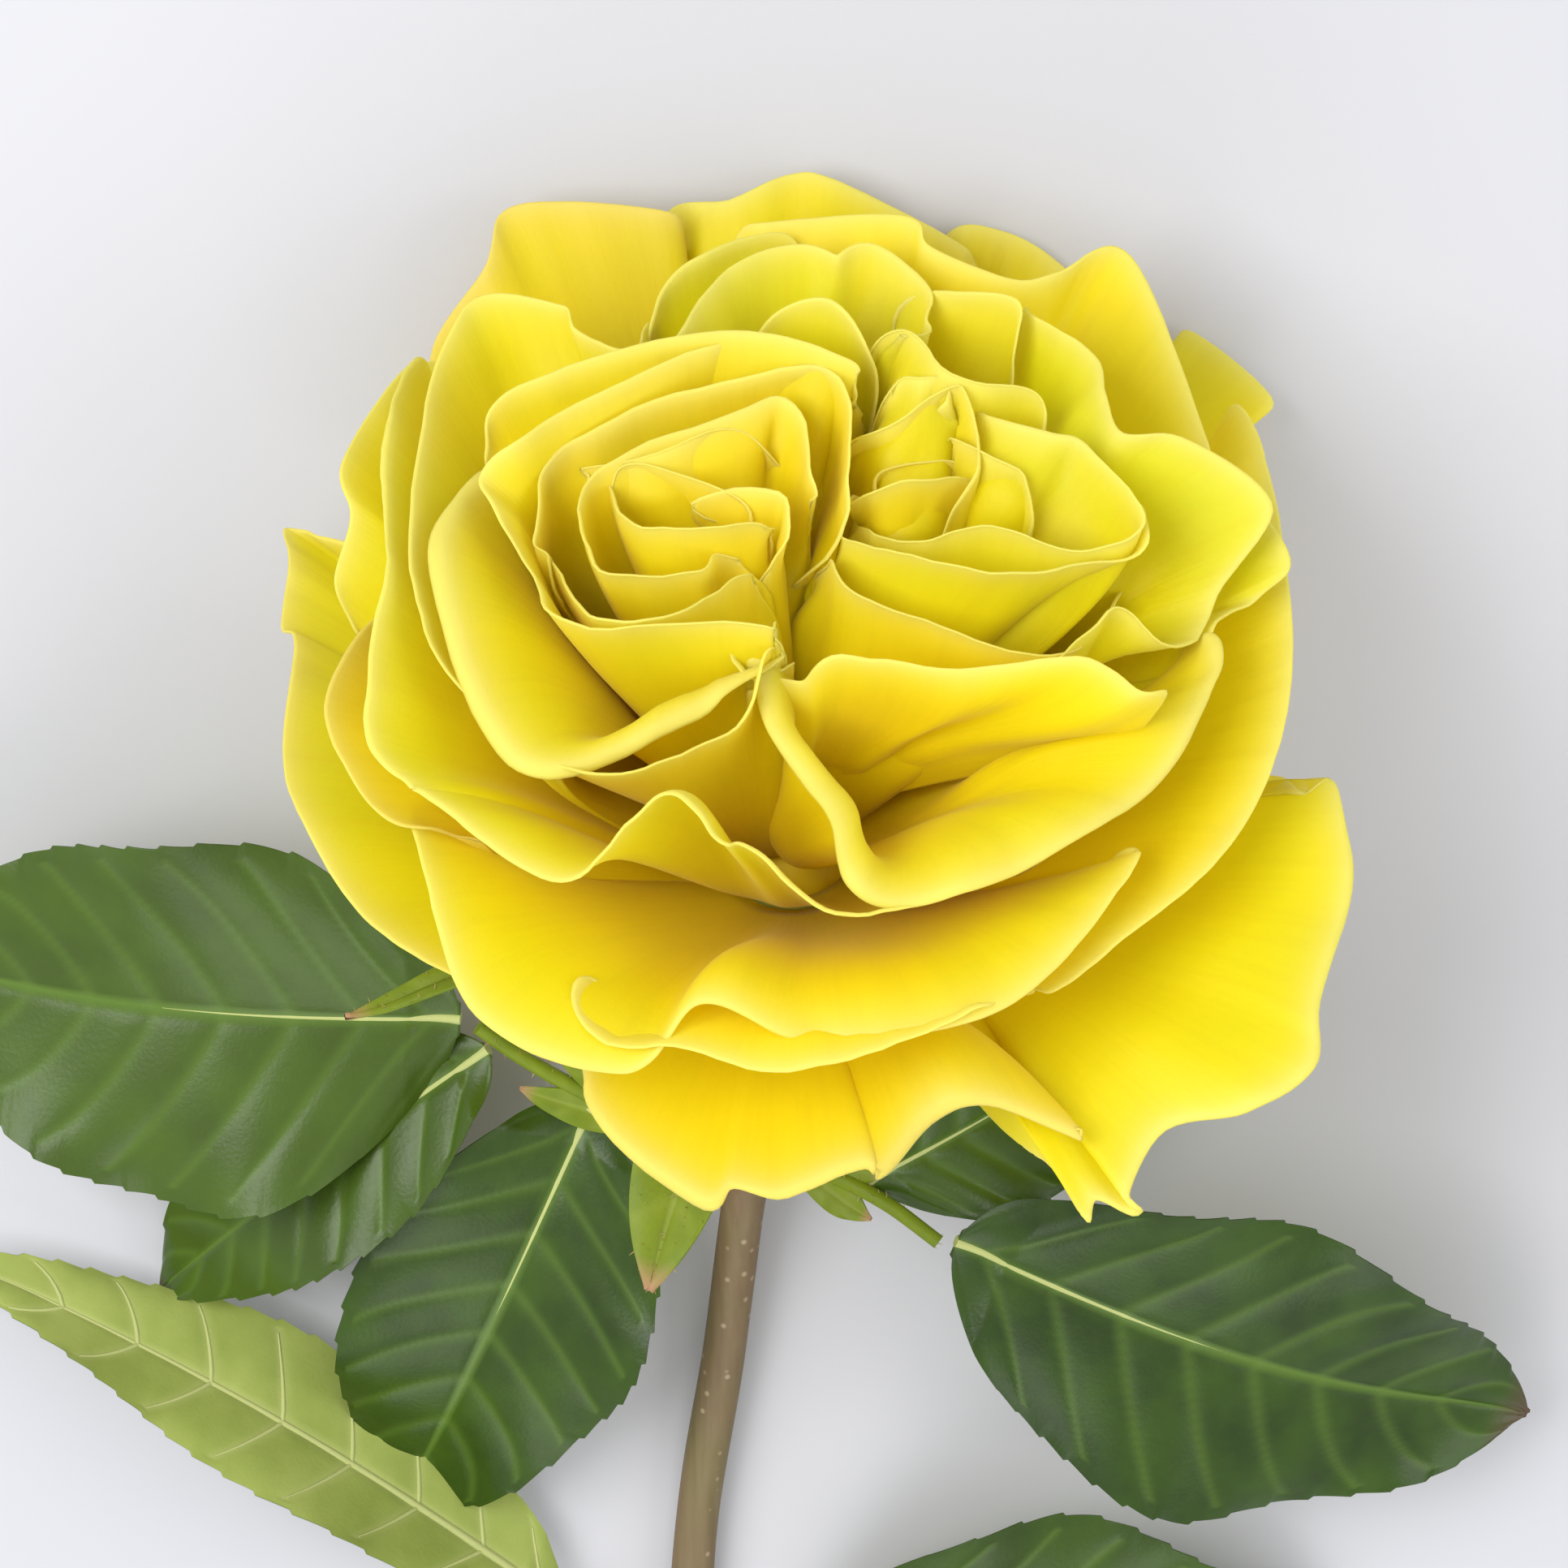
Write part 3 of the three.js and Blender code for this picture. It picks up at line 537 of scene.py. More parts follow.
def normals_of(grid, outward_from):
    """Unit normals of a grid of points, on the side that looks away from outward_from."""
    normals = unit(np.cross(np.gradient(grid, axis=0), np.gradient(grid, axis=1)))
    row = grid.shape[1] // 3
    away = grid[:, row, :2] - np.asarray(outward_from)[None, :2]
    facing = (normals[:, row, :2] * away).sum()
    return normals if facing >= 0 else -normals


print("petal families:", ", ".join(HEARTS))

# %% [markdown]
# ## The petals
# From the hearts outwards. Each row is the petal's name, its family, its layer and its rim.

# %% Petal table
PETALS = [
    ("left_heart", "left", 0, [
        (-19, 18, 34, 0), (-19, 19, 40, 5), (-16, 20, 42, 10), (-6, 16, 41, -10), (-4, 14, 38, -10),
    ]),
    ("right_heart", "right", 0, [
        (18, 21, 34, 0), (18, 22, 40, 0), (10, 21, 40, -5), (9, 19, 38, -5),
    ]),
    ("left_fold_front", "left", 1, [
        (-19, 21, 36, 0), (-19, 19, 40, 0), (-15, 10, 43, 0), (-4, 12, 42, 0), (-2, 12, 38, 0),
    ]),
    ("left_fold_back", "left", 1, [
        (-23, 21, 30, 0), (-22, 21, 38, 0), (-21, 21, 41, 0), (-7, 24, 43, 5), (-1, 24, 38, -10),
        (-1, 23, 34, 0),
    ]),
    ("right_fold_front", "right", 1, [
        (5, 18, 36, 0), (6, 17, 39, 5), (12, 17, 43, 15), (19, 20, 40, 0), (18, 20, 34, 0),
    ]),
    ("left_fold_right", "left", 2, [
        (-9, 21, 34, 0), (-7, 21, 40, 0), (-1, 15, 42, 5), (-2, 10, 38, 0), (-4, 10, 34, 0),
    ]),
    ("left_cup_inner", "left", 2, [
        (1, 16, 30, -5), (2, 17, 38, 0), (2, 18, 42, 5), (-2, 29, 44, 5), (-21, 20, 42, 0),
        (-20, 7, 41, 10), (-10, 6, 41, 5), (-8, 9, 40, 0), (-7, 11, 38, 0),
    ]),
    ("right_fold_back", "right", 2, [
        (5, 24, 34, 0), (6, 25, 40, 0), (10, 25, 43, 5), (18, 28, 46, 20), (20, 20, 43, 5),
        (17, 16, 39, 10), (15, 15, 34, 0),
    ]),
    ("left_front_inner", "left", 3, [
        (-26, 16, 30, 0), (-26, 13, 36, 0), (-21, 0, 41, 15), (-12, 0, 41, 10), (-5, 7, 39, 0),
        (-4, 9, 36, 0),
    ]),
    ("right_fold_side", "right", 3, [
        (19, 28, 34, 0), (21, 26, 42, 0), (24, 18, 43, 0), (25, 14, 40, 0), (24, 13, 34, 0),
    ]),
    ("right_back_inner", "right", 3, [
        (9, 28, 32, 0), (9, 29, 40, 0), (12, 30, 45, 15), (17, 30, 45, 10), (18, 28, 38, 0),
    ]),
    ("left_cup_middle", "left", 4, [
        (1, 9, 23, -10), (3, 11, 32, -5), (6, 17, 43, 10), (3, 32, 45, 10), (-23, 23, 43, 0),
        (-27, 12, 40, 0), (-25, 11, 38, 0), (-23, 10, 34, 0),
    ]),
    ("right_cup_inner", "right", 4, [
        (18, 31, 32, 0), (20, 31, 41, 0), (27, 22, 45, 20), (31, 19, 45, 20), (36, 9, 45, 5),
        (30, 8, 42, 0), (20, 11, 42, 0), (13, 11, 40, 0), (9, 14, 38, 0), (8, 17, 36, 0),
    ]),
    ("left_cup_outer", "left", 5, [
        (-1, 37, 34, 0), (-2, 36, 42, 15), (-7, 34, 46, 20), (-21, 26, 46, 25), (-29, 19, 46, 30),
        (-32, 17, 44, 45), (-31, 14, 43, 45), (-27, 7, 40, 20), (-23, 0, 41, 20), (-4, -1, 41, 5),
        (-2, -1, 39, 0), (-1, 0, 33, 0),
    ]),
    ("right_front", "right", 5, [
        (36, 16, 33, 0), (36, 14, 42, 5), (36, 10, 44, 10), (33, 8, 42, 20), (24, 5, 42, 25),
        (14, 7, 42, 20), (5, 13, 38, 0), (4, 16, 32, 0),
    ]),
    ("right_back_middle", "right", 5, [
        (7, 35, 33, 0), (8, 36, 42, 5), (12, 36, 46, 25), (19, 30, 46, 15), (26, 28, 45, 15),
        (27, 25, 42, 0), (27, 23, 34, 0),
    ]),
    ("left_back_outer", "left", 6, [
        (-31, 22, 36, 0), (-32, 23, 41, 5), (-29, 27, 46, 25), (-7, 35, 47, 20), (6, 32, 46, 30),
        (7, 30, 43, 20), (6, 29, 38, 0),
    ]),
    ("right_front_outer", "right", 6, [
        (35, 13, 26, 0), (35, 11, 32, 10), (27, -2, 37, 15), (8, 5, 38, 10), (4, 11, 37, 0),
        (4, 14, 30, 0),
    ]),
    ("left_lip", "left", 7, [
        (-29, 23, 34, 10), (-31, 21, 39, 20), (-36, 8, 41, 60), (-27, -13, 34, 95),
        (-11, -7, 34, 105), (-3, 1, 37, 40), (-2, 2, 34, 20),
    ]),
    ("left_front_outer", "left", 8, [
        (-33, 0, 24, 10), (-32, -3, 31, 20), (-26, -12, 33, 35), (-16, -14, 33, 30),
        (-6, -9, 34, 30), (-2, -3, 38, 10), (-1, -1, 35, 0), (-2, 0, 32, 0),
    ]),
    ("pocket_back", "front", 0, [
        (0, 0, 34, 0), (-2, -1, 34, 10), (1, -4, 34, 20), (5, -4, 39, 10), (18, -5, 38, 20),
        (29, -7, 42, 20), (35, -10, 40, 30), (38, -8, 38, 20), (36, -6, 32, 0),
    ]),
    ("pocket_front", "front", 1, [
        (0, 1, 30, 20), (-3, 0, 35, 60), (-2, -8, 33, 90), (4, -17, 31, 90), (6, -25, 30, 100),
        (11, -27, 28, 105), (23, -23, 29, 110), (37, -12, 29, 95), (43, -2, 33, 65),
        (43, 4, 33, 40), (40, 5, 28, 20),
    ]),
    ("centre_curl", "whole", 5, [
        (8, 28, 32, 0), (9, 31, 39, 0), (9, 34, 43, 0), (5, 39, 47, 10), (0, 40, 46, 10),
        (-4, 38, 42, 0), (-4, 37, 36, 0),
    ]),
    ("centre_back", "whole", 6, [
        (-16, 35, 33, 0), (-16, 37, 42, 10), (-14, 36, 45, 20), (-6, 46, 46, 35), (1, 49, 46, 30),
        (5, 47, 46, 20), (9, 49, 46, 30), (15, 44, 44, 40), (14, 39, 44, 30), (12, 39, 44, 10),
        (9, 35, 36, 0),
    ]),
    ("right_back_outer", "whole", 7, [
        (10, 40, 34, 0), (13, 43, 43, 10), (24, 41, 46, 20), (24, 36, 42, 0), (23, 32, 36, 0),
    ]),
    ("right_ruffle", "whole", 7, [
        (22, 43, 32, 0), (25, 44, 41, 5), (27, 40, 44, 15), (32, 33, 45, 25), (34, 22, 45, 30),
        (41, 21, 45, 50), (50, 15, 41, 65), (43, 8, 36, 60), (38, 2, 36, 50), (33, 3, 39, 25),
        (27, -1, 37, 20), (24, 0, 34, 10), (19, 2, 28, 0),
    ]),
    ("right_ruffle_outer", "whole", 8, [
        (42, 29, 24, 10), (46, 28, 32, 30), (50, 18, 36, 50), (52, 12, 35, 65), (47, 9, 32, 75),
        (42, 4, 34, 60), (38, -3, 32, 30), (34, -4, 28, 10),
    ]),
    ("centre_back_outer", "whole", 8, [
        (-14, 35, 32, 0), (-15, 40, 41, 5), (-12, 47, 45, 25), (-1, 53, 44, 30), (1, 51, 40, 10),
    ]),
    ("left_wave", "whole", 9, [
        (-13, 41, 32, 0), (-15, 42, 41, 10), (-18, 38, 42, 25), (-23, 39, 43, 30),
        (-25, 42, 44, 35), (-36, 41, 43, 45), (-39, 6, 40, 35), (-29, -10, 33, 20),
        (-24, -10, 28, 10),
    ]),
    ("left_ruffle", "whole", 10, [
        (-38, 43, 28, 10), (-40, 42, 36, 20), (-43, 28, 40, 45), (-42, 10, 40, 40),
        (-43, -10, 36, 50), (-39, -16, 33, 65), (-36, -17, 32, 60), (-23, -24, 28, 85),
        (-13, -18, 34, 55), (-7, -23, 32, 35), (-4, -23, 31, 35), (7, -29, 28, 35),
        (26, -18, 26, 20), (26, -14, 20, 0),
    ]),
    ("left_rim", "whole", 11, [
        (-40, 14, 22, 10), (-44, 12, 27, 25), (-48, -4, 31, 60), (-43, -14, 28, 60),
        (-38, -16, 26, 50), (-32, -15, 22, 20),
    ]),
    ("front_lip", "whole", 12, [
        (-35, -11, 20, 10), (-38, -15, 26, 40), (-32, -35, 21, 95), (-17, -40, 17, 110),
        (-9, -35, 22, 100), (2, -38, 20, 110), (21, -35, 21, 110), (35, -19, 24, 50),
        (33, -15, 20, 20),
    ]),
    ("front_crescent", "whole", 13, [
        (-18, -30, 18, 10), (-18, -35, 21, 40), (-1, -42, 20, 90), (18, -36, 22, 50),
        (19, -32, 20, 20),
    ]),
    ("guard_back_left", "whole", 12, [
        (-41, 49, 18, 20), (-40, 53, 27, 40), (-34, 57, 35, 55), (-31, 64, 38, 60),
        (-14, 62, 39, 45), (-12, 62, 34, 30), (-10, 58, 26, 10),
    ]),
    ("guard_back_right", "whole", 12, [
        (-8, 55, 31, 10), (-6, 57, 40, 40), (-2, 56, 43, 50), (12, 55, 45, 50), (15, 51, 44, 35),
        (24, 48, 42, 35), (29, 49, 42, 40), (37, 53, 41, 60), (44, 32, 35, 50), (45, 30, 32, 40),
        (44, 27, 24, 10),
    ]),
    ("guard_back", "whole", 13, [
        (-15, 62, 24, 20), (-14, 68, 33, 40), (-7, 65, 38, 55), (0, 68, 39, 60), (5, 67, 39, 60),
        (18, 63, 34, 55), (21, 63, 30, 40), (23, 61, 22, 20),
    ]),
    ("guard_left_upper", "whole", 13, [
        (-40, 48, 20, 20), (-42, 48, 29, 45), (-48, 30, 33, 65), (-47, 23, 31, 65),
        (-49, 19, 25, 50), (-47, 16, 20, 30),
    ]),
    ("guard_right", "whole", 13, [
        (47, 44, 20, 20), (50, 43, 27, 50), (52, 21, 31, 65), (52, 1, 26, 70), (44, -16, 21, 80),
        (28, -29, 18, 70), (24, -28, 14, 40),
    ]),
    ("guard_back_small", "whole", 14, [
        (14, 61, 22, 20), (18, 67, 31, 50), (26, 65, 32, 60), (34, 62, 26, 50), (35, 58, 20, 30),
    ]),
    ("guard_right_back", "whole", 14, [
        (39, 55, 14, 20), (43, 60, 21, 60), (46, 59, 23, 70), (54, 51, 21, 80), (52, 50, 18, 80),
        (53, 46, 16, 70), (51, 42, 14, 50),
    ]),
    ("guard_left", "whole", 14, [
        (-44, 31, 8, 20), (-49, 34, 14, 60), (-57, 41, 10, 85), (-56, 33, 12, 80),
        (-56, 24, 13, 85), (-54, 19, 15, 75), (-53, -4, 19, 80), (-44, -20, 17, 80),
        (-35, -26, 15, 75), (-30, -25, 12, 50),
    ]),
    ("guard_front", "whole", 14, [
        (-20, -29, 8, 60), (-21, -33, 8, 90), (-19, -39, 7, 95), (-9, -47, 5, 100),
        (-6, -46, 6, 95), (-1, -47, 6, 95), (7, -45, 8, 95), (9, -46, 8, 95), (14, -40, 10, 115),
        (20, -39, 11, 120), (29, -40, 7, 100), (29, -39, 6, 70),
    ]),
    ("guard_front_right", "whole", 15, [
        (24, -37, 0, 60), (27, -42, 2, 100), (30, -47, 1, 110), (31, -45, 2, 105),
        (35, -46, 1, 105), (34, -45, 3, 100), (38, -39, 6, 95), (46, -39, 9, 95), (53, -35, 11, 95),
        (54, -28, 13, 90), (58, -15, 15, 85), (58, -7, 16, 85), (57, -1, 16, 85), (54, -3, 16, 80),
        (52, 0, 15, 70), (47, 3, 12, 40),
    ]),
]
print("petals:", len(PETALS))

# %% [markdown]
# ## Keeping petals apart
# Sheets drawn one by one run through each other in places, and real petals never do: they press on
# each other and slide aside. A cloth simulation with collisions could settle that, but slowly, so
# here each petal is laid after the ones inside it, and is moved where it comes too near. From every
# point of a coarse copy of its sheet a ray goes out and another goes in. If an inner petal is met
# on the wrong side, the point moves past it. The moves are then blurred, so that the petal bends
# gently instead of kinking, and fade towards the crowded root. The copy is coarse and the moves
# are smooth, so they don't clear everything: many neighbouring petals still cross in places,
# above the root as well.

# %% Laying petals against each other
COARSE_ACROSS = 33
COARSE_UP = 17
SEARCH = 4.5  # how far a ray looks for another petal, in mm
CLEARANCE = 0.75
FREE_ROOT = 0.25  # the share of a petal's height that isn't moved
FADE = 0.3  # the share of it over which the moves come in
ROUNDS = 2
laid = []


def grid_faces(columns, rows):
    """The quads of a grid of points that is stored column by column."""
    return [
        (i * rows + j, (i + 1) * rows + j, (i + 1) * rows + j + 1, i * rows + j + 1)
        for i in range(columns - 1)
        for j in range(rows - 1)
    ]


def blurred(field, passes):
    """A grid of numbers, averaged with its neighbours a few times."""
    for _ in range(passes):
        padded = np.pad(field, 1, mode="edge")
        beside = padded[:-2, 1:-1] + padded[2:, 1:-1]
        above_and_below = padded[1:-1, :-2] + padded[1:-1, 2:]
        field = (2 * padded[1:-1, 1:-1] + beside + above_and_below) / 6
    return field


def push_needed(point, normal, neighbours):
    """How far along its normal a point has to move to stand clear of the petals laid before."""
    push = 0.0
    for tree in neighbours:
        for sign in (1, -1):
            hit, face_normal, _, distance = tree.ray_cast(point, normal * sign, SEARCH)
            if hit is None:
                continue
            same_way = face_normal.dot(normal) > 0
            if same_way and sign == 1:
                push = max(push, distance + CLEARANCE)
            elif same_way and distance < CLEARANCE:
                push = max(push, CLEARANCE - distance)
            elif not same_way and sign == -1:
                push = min(push, -distance - CLEARANCE)
            elif not same_way and distance < CLEARANCE:
                push = min(push, distance - CLEARANCE)
    return push


def lay_petal(heart, layer, rim):
    """The moves, on the coarse grid, that keep a petal clear of the ones laid before it."""
    across, up = np.linspace(0, 1, COARSE_ACROSS), np.linspace(0, 1, COARSE_UP)
    grid = petal_sheet(heart, layer, rim, across, up)
    normals = normals_of(grid, HEARTS[heart]["rim"])
    fade = np.clip((up - FREE_ROOT) / FADE, 0, 1)[None, :]
    moves = np.zeros(grid.shape[:2])
    for _ in range(ROUNDS):
        moved = grid + normals * moves[..., None]
        low, high = moved.min(axis=(0, 1)) - SEARCH, moved.max(axis=(0, 1)) + SEARCH
        near = [t for t, a, b in laid if (a < high).all() and (b > low).all()]
        wanted = np.zeros_like(moves)
        for i in range(COARSE_ACROSS):
            for j in range(int(FREE_ROOT * COARSE_UP), COARSE_UP):
                wanted[i, j] = push_needed(Vector(moved[i, j]), Vector(normals[i, j]), near)
        moves = moves + blurred(wanted, 2) * fade
    moves = blurred(moves, 1)
    moved = grid + normals * moves[..., None]
    faces = grid_faces(COARSE_ACROSS, COARSE_UP)
    points = [Vector(p) for p in moved.reshape(-1, 3)]
    j = COARSE_UP // 2 + 1
    facing = np.cross(moved[1, j] - moved[0, j], moved[0, j + 1] - moved[0, j])
    if np.dot(facing, normals[0, j]) < 0:
        faces = [face[::-1] for face in faces]
    tree = BVHTree.FromPolygons(points, faces)
    laid.append((tree, moved.min(axis=(0, 1)), moved.max(axis=(0, 1))))
    return moves


petal_moves = {name: lay_petal(heart, layer, rim) for name, heart, layer, rim in PETALS}
print("largest move:", round(max(float(abs(m).max()) for m in petal_moves.values()), 2), "mm")

# %% [markdown]
# ## Ruffles, rolled lips and thickness
# A petal's rim is longer than the place it has, so it ruffles, and the last millimetre rolls back
# into a thin lip that catches the light, with a pale band painted along the rim as a painted
# highlight. Slow noise along the rim gives the ruffle, growing towards the rim. The lip is a few
# more rows of the grid that follow an arc. Then the sheet becomes a closed shell: one wall on each
# side of it, joined all the way round, thinner at the rim.

# %% Fine petals
ACROSS_STEP = 0.9
UP_STEP = 1.1
RUFFLE = 0.9
PLEAT = 0.3
BOW = 0.5
RUFFLE_WAVE = 9.0
BOW_WAVE = 14
LIP_ROWS = 4
LIP_RADIUS = 0.28
LIP_TURN = math.radians(75)
ROOT_THICKNESS = 0.5
RIM_THICKNESS = 0.24
# How wide, in mm, and how strong the painted highlight along the rim is.
HIGHLIGHT_BAND = 1.6
HIGHLIGHT_SHARE = 0.75
USUAL_GREEN = 0.12
LIP_SWELL, LIP_SWELL_WAVE = 0.6, 11  # how unevenly the lip rolls along the rim: its radius
LIP_TWIST, LIP_TWIST_WAVE = 0.3, 8  # and how far it turns
LEAST_ACROSS, LEAST_UP = 24, 20
CROWD_TO_RIM = 0.85  # under 1, so that the rows of the grid stand closer near the rim
SEED_STEP = 3

# How wide the lip rolls, in mm, on the petals whose rims have turned right over.
WIDE_LIPS = {
    "left_lip": 1.3, "pocket_front": 0.8, "front_lip": 0.4, "guard_front": 1.0, "left_ruffle": 0.4,
    "guard_front_right": 0.6,
}
# How green a petal is, from 0, the golden hearts, to 1, the young outer petals.
GREENS = {
    "right_cup_inner": 0.5, "right_front": 0.45, "right_fold_back": 0.3, "right_back_middle": 0.45,
    "right_back_inner": 0.5, "right_fold_side": 0.4, "centre_back": 0.55, "centre_back_outer": 0.6,
    "centre_curl": 0.5, "right_back_outer": 0.55, "right_ruffle": 0.75, "right_ruffle_outer": 0.7,
    "left_wave": 0.5, "left_ruffle": 0.55, "left_back_outer": 0.3, "left_cup_outer": 0.25,
    "left_lip": 0.3, "guard_left_upper": 0.5, "guard_left": 0.65, "guard_back_left": 0.3,
    "guard_front_right": 0.35, "front_lip": 0.2, "pocket_front": 0.3, "guard_right_back": 0.4,
}
# The oldest rims have ripened to a warm straw colour.
WARMS = {"left_rim": 0.15, "guard_back_left": 0.2, "guard_front": 0.12, "guard_left": 0.1}


def resampled(field, across, up):
    """A coarse grid of numbers read at finer places, straight between its points."""
    columns = np.interp(across, np.linspace(0, 1, field.shape[0]), np.arange(field.shape[0]))
    rows = np.interp(up, np.linspace(0, 1, field.shape[1]), np.arange(field.shape[1]))
    i = np.minimum(columns.astype(int), field.shape[0] - 2)
    j = np.minimum(rows.astype(int), field.shape[1] - 2)
    f, g = (columns - i)[:, None], (rows - j)[None, :]
    low = field[np.ix_(i, j)] * (1 - f) + field[np.ix_(i + 1, j)] * f
    high = field[np.ix_(i, j + 1)] * (1 - f) + field[np.ix_(i + 1, j + 1)] * f
    return low * (1 - g) + high * g


def ruffles(grid, up, seed):
    """How far each point of a petal is out of the smooth sheet: waves that grow towards the rim."""
    waves = np.zeros(grid.shape[:2])
    rim = grid[:, -1]
    travelled = np.r_[0, np.cumsum(np.linalg.norm(np.diff(rim, axis=0), axis=1))]
    for i, mm in enumerate(travelled):
        for j, v in enumerate(up):
            slow = noise.noise(Vector((mm / RUFFLE_WAVE, v * 1.5, seed)))
            quick = noise.noise(Vector((mm / (RUFFLE_WAVE / 3), v * 2.0, seed + 40)))
            bow = noise.noise(Vector(grid[i, j] / BOW_WAVE) + Vector((seed, 0, 0)))
            waves[i, j] = RUFFLE * slow * v**3 + PLEAT * quick * v**5 + BOW * bow * v
    return waves


ON_TABLE = 0.1  # no point is nearer to the table than this, in mm


def shell(name, grid, outward, thickness, values, material):
    """A closed mesh around a grid: its two walls, joined all round. outward is +1 if the grid's
    own normals look outwards. values are numbers for each grid point, kept as attributes."""
    columns, rows = grid.shape[:2]
    normals = unit(np.cross(np.gradient(grid, axis=0), np.gradient(grid, axis=1))) * outward
    walls = [grid + normals * (side * thickness / 2)[..., None] for side in (1, -1)]
    points = np.concatenate([w.reshape(-1, 3) for w in walls])
    points[:, 2] = np.maximum(points[:, 2], ON_TABLE)
    size = columns * rows
    faces, wall_of = [], []
    for face in grid_faces(columns, rows):
        outer = face if outward > 0 else face[::-1]
        faces += [outer, tuple(size + k for k in outer[::-1])]
        wall_of += [0, 1]
    border = [(i, 0) for i in range(columns)]
    border += [(columns - 1, j) for j in range(1, rows)]
    border += [(i, rows - 1) for i in range(columns - 2, -1, -1)]
    border += [(0, j) for j in range(rows - 2, 0, -1)]
    ring = [i * rows + j for i, j in border]
    for a, b in zip(ring, ring[1:] + ring[:1]):
        joint = (b, a, a + size, b + size)
        faces.append(joint if outward > 0 else joint[::-1])
        wall_of.append(0)
    mesh = bpy.data.meshes.new(name)
    mesh.from_pydata((points * MM).tolist(), [], faces)
    for key, field in values.items():
        attribute = mesh.attributes.new(key, "FLOAT", "POINT")
        both = np.concatenate([field.ravel(), field.ravel()]).astype(np.float32)
        attribute.data.foreach_set("value", both)
    under = mesh.attributes.new("under", "FLOAT", "FACE")
    under.data.foreach_set("value", np.array(wall_of, np.float32))
    steps_across = np.linalg.norm(np.diff(grid, axis=0), axis=2).mean(axis=1)
    steps_up = np.linalg.norm(np.diff(grid, axis=1), axis=2).mean(axis=0)
    u = np.repeat(np.r_[0, np.cumsum(steps_across)], rows) * MM
    v = np.tile(np.r_[0, np.cumsum(steps_up)], columns) * MM
    place = np.stack([np.tile(u, 2), np.tile(v, 2)], axis=1).astype(np.float32)
    loops = np.zeros(len(mesh.loops), np.int32)
    mesh.loops.foreach_get("vertex_index", loops)
    mesh.uv_layers.new(name="along_petal").data.foreach_set("uv", place[loops].ravel())
    mesh.shade_smooth()
    mesh.materials.append(material)
    return mesh


def make_piece(name, mesh):
    """The piece that stands for the CAD node of that name."""
    piece = bpy.data.objects.new(name + "_piece", mesh)
    bpy.context.collection.objects.link(piece)
    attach(piece, "root")
    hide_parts(name)
    return piece


def fine_petal(name, heart, layer, rim, seed):
    """One finished petal."""
    rough = petal_sheet(heart, layer, rim, np.linspace(0, 1, 40), np.linspace(0, 1, 20))
    rim_length = np.linalg.norm(np.diff(rough[:, -1], axis=0), axis=1).sum()
    height = np.linalg.norm(np.diff(rough, axis=1), axis=2).sum(axis=1).mean()
    across = np.linspace(0, 1, max(LEAST_ACROSS, int(rim_length / ACROSS_STEP)))
    up = np.linspace(0, 1, max(LEAST_UP, int(height / UP_STEP))) ** CROWD_TO_RIM
    grid = petal_sheet(heart, layer, rim, across, up)
    normals = normals_of(grid, HEARTS[heart]["rim"])
    moves = resampled(petal_moves[name], across, up) + ruffles(grid, up, seed)
    grid = grid + normals * moves[..., None]
    normals = normals_of(grid, HEARTS[heart]["rim"])

    tangent = unit(grid[:, -1] - grid[:, -2])
    radius = WIDE_LIPS.get(name, LIP_RADIUS)
    travelled = across * rim_length
    swell = np.array([noise.noise(Vector((mm / LIP_SWELL_WAVE, seed, 7))) for mm in travelled])
    twist = np.array([noise.noise(Vector((mm / LIP_TWIST_WAVE, seed, 3))) for mm in travelled])
    lip_radii = (radius * (1 + LIP_SWELL * swell))[:, None]
    turns = LIP_TURN * (1 + LIP_TWIST * twist)
    lip_points = []
    for k in range(1, LIP_ROWS + 1):
        angle = (turns * k / LIP_ROWS)[:, None]
        arc = np.sin(angle) * tangent + (1 - np.cos(angle)) * normals[:, -1]
        lip_points.append(grid[:, -1] + lip_radii * arc)
    full = np.concatenate([grid, np.stack(lip_points, axis=1)], axis=1)

    own = unit(np.cross(np.gradient(grid, axis=0), np.gradient(grid, axis=1)))
    outward = 1 if (own * normals).sum() > 0 else -1
    to_rim = np.linalg.norm(grid - grid[:, -1:], axis=2)
    on_lip = np.ones((len(across), LIP_ROWS))
    # A pale band at the rim, fading inwards: a painted highlight.
    rim_highlight = np.concatenate([np.exp(-to_rim / HIGHLIGHT_BAND), on_lip], axis=1)
    reach = np.concatenate([np.tile(up, (len(across), 1)), on_lip], axis=1)
    warm = WARMS.get(name, 0.0) * reach**4
    green = np.full(full.shape[:2], GREENS.get(name, USUAL_GREEN))
    thickness = ROOT_THICKNESS + (RIM_THICKNESS - ROOT_THICKNESS) * reach
    values = {"rim_highlight": HIGHLIGHT_SHARE * rim_highlight, "reach": reach, "warm": warm, "green": green}
    turned = bloom_to_table(full.reshape(-1, 3)).reshape(full.shape)
    return make_piece(name, shell(name, turned, outward, thickness, values, petal_skin))


petal_pieces = [fine_petal(*row, seed=SEED_STEP * index) for index, row in enumerate(PETALS)]
print("petal triangles:", sum(2 * len(p.data.polygons) for p in petal_pieces))

# %% [markdown]
# ## A tube along a path
# Stem, stalks and the raised veins under a leaf are all the same thing: a round section that
# follows a path and swells or tapers on the way. Geometry Nodes make them, with one small tree.
# The path comes in as a curve with a radius at each of its points. The tree resamples it, sweeps a
# circle along it, and caps its ends. Its inputs are named, so one tree serves every size.


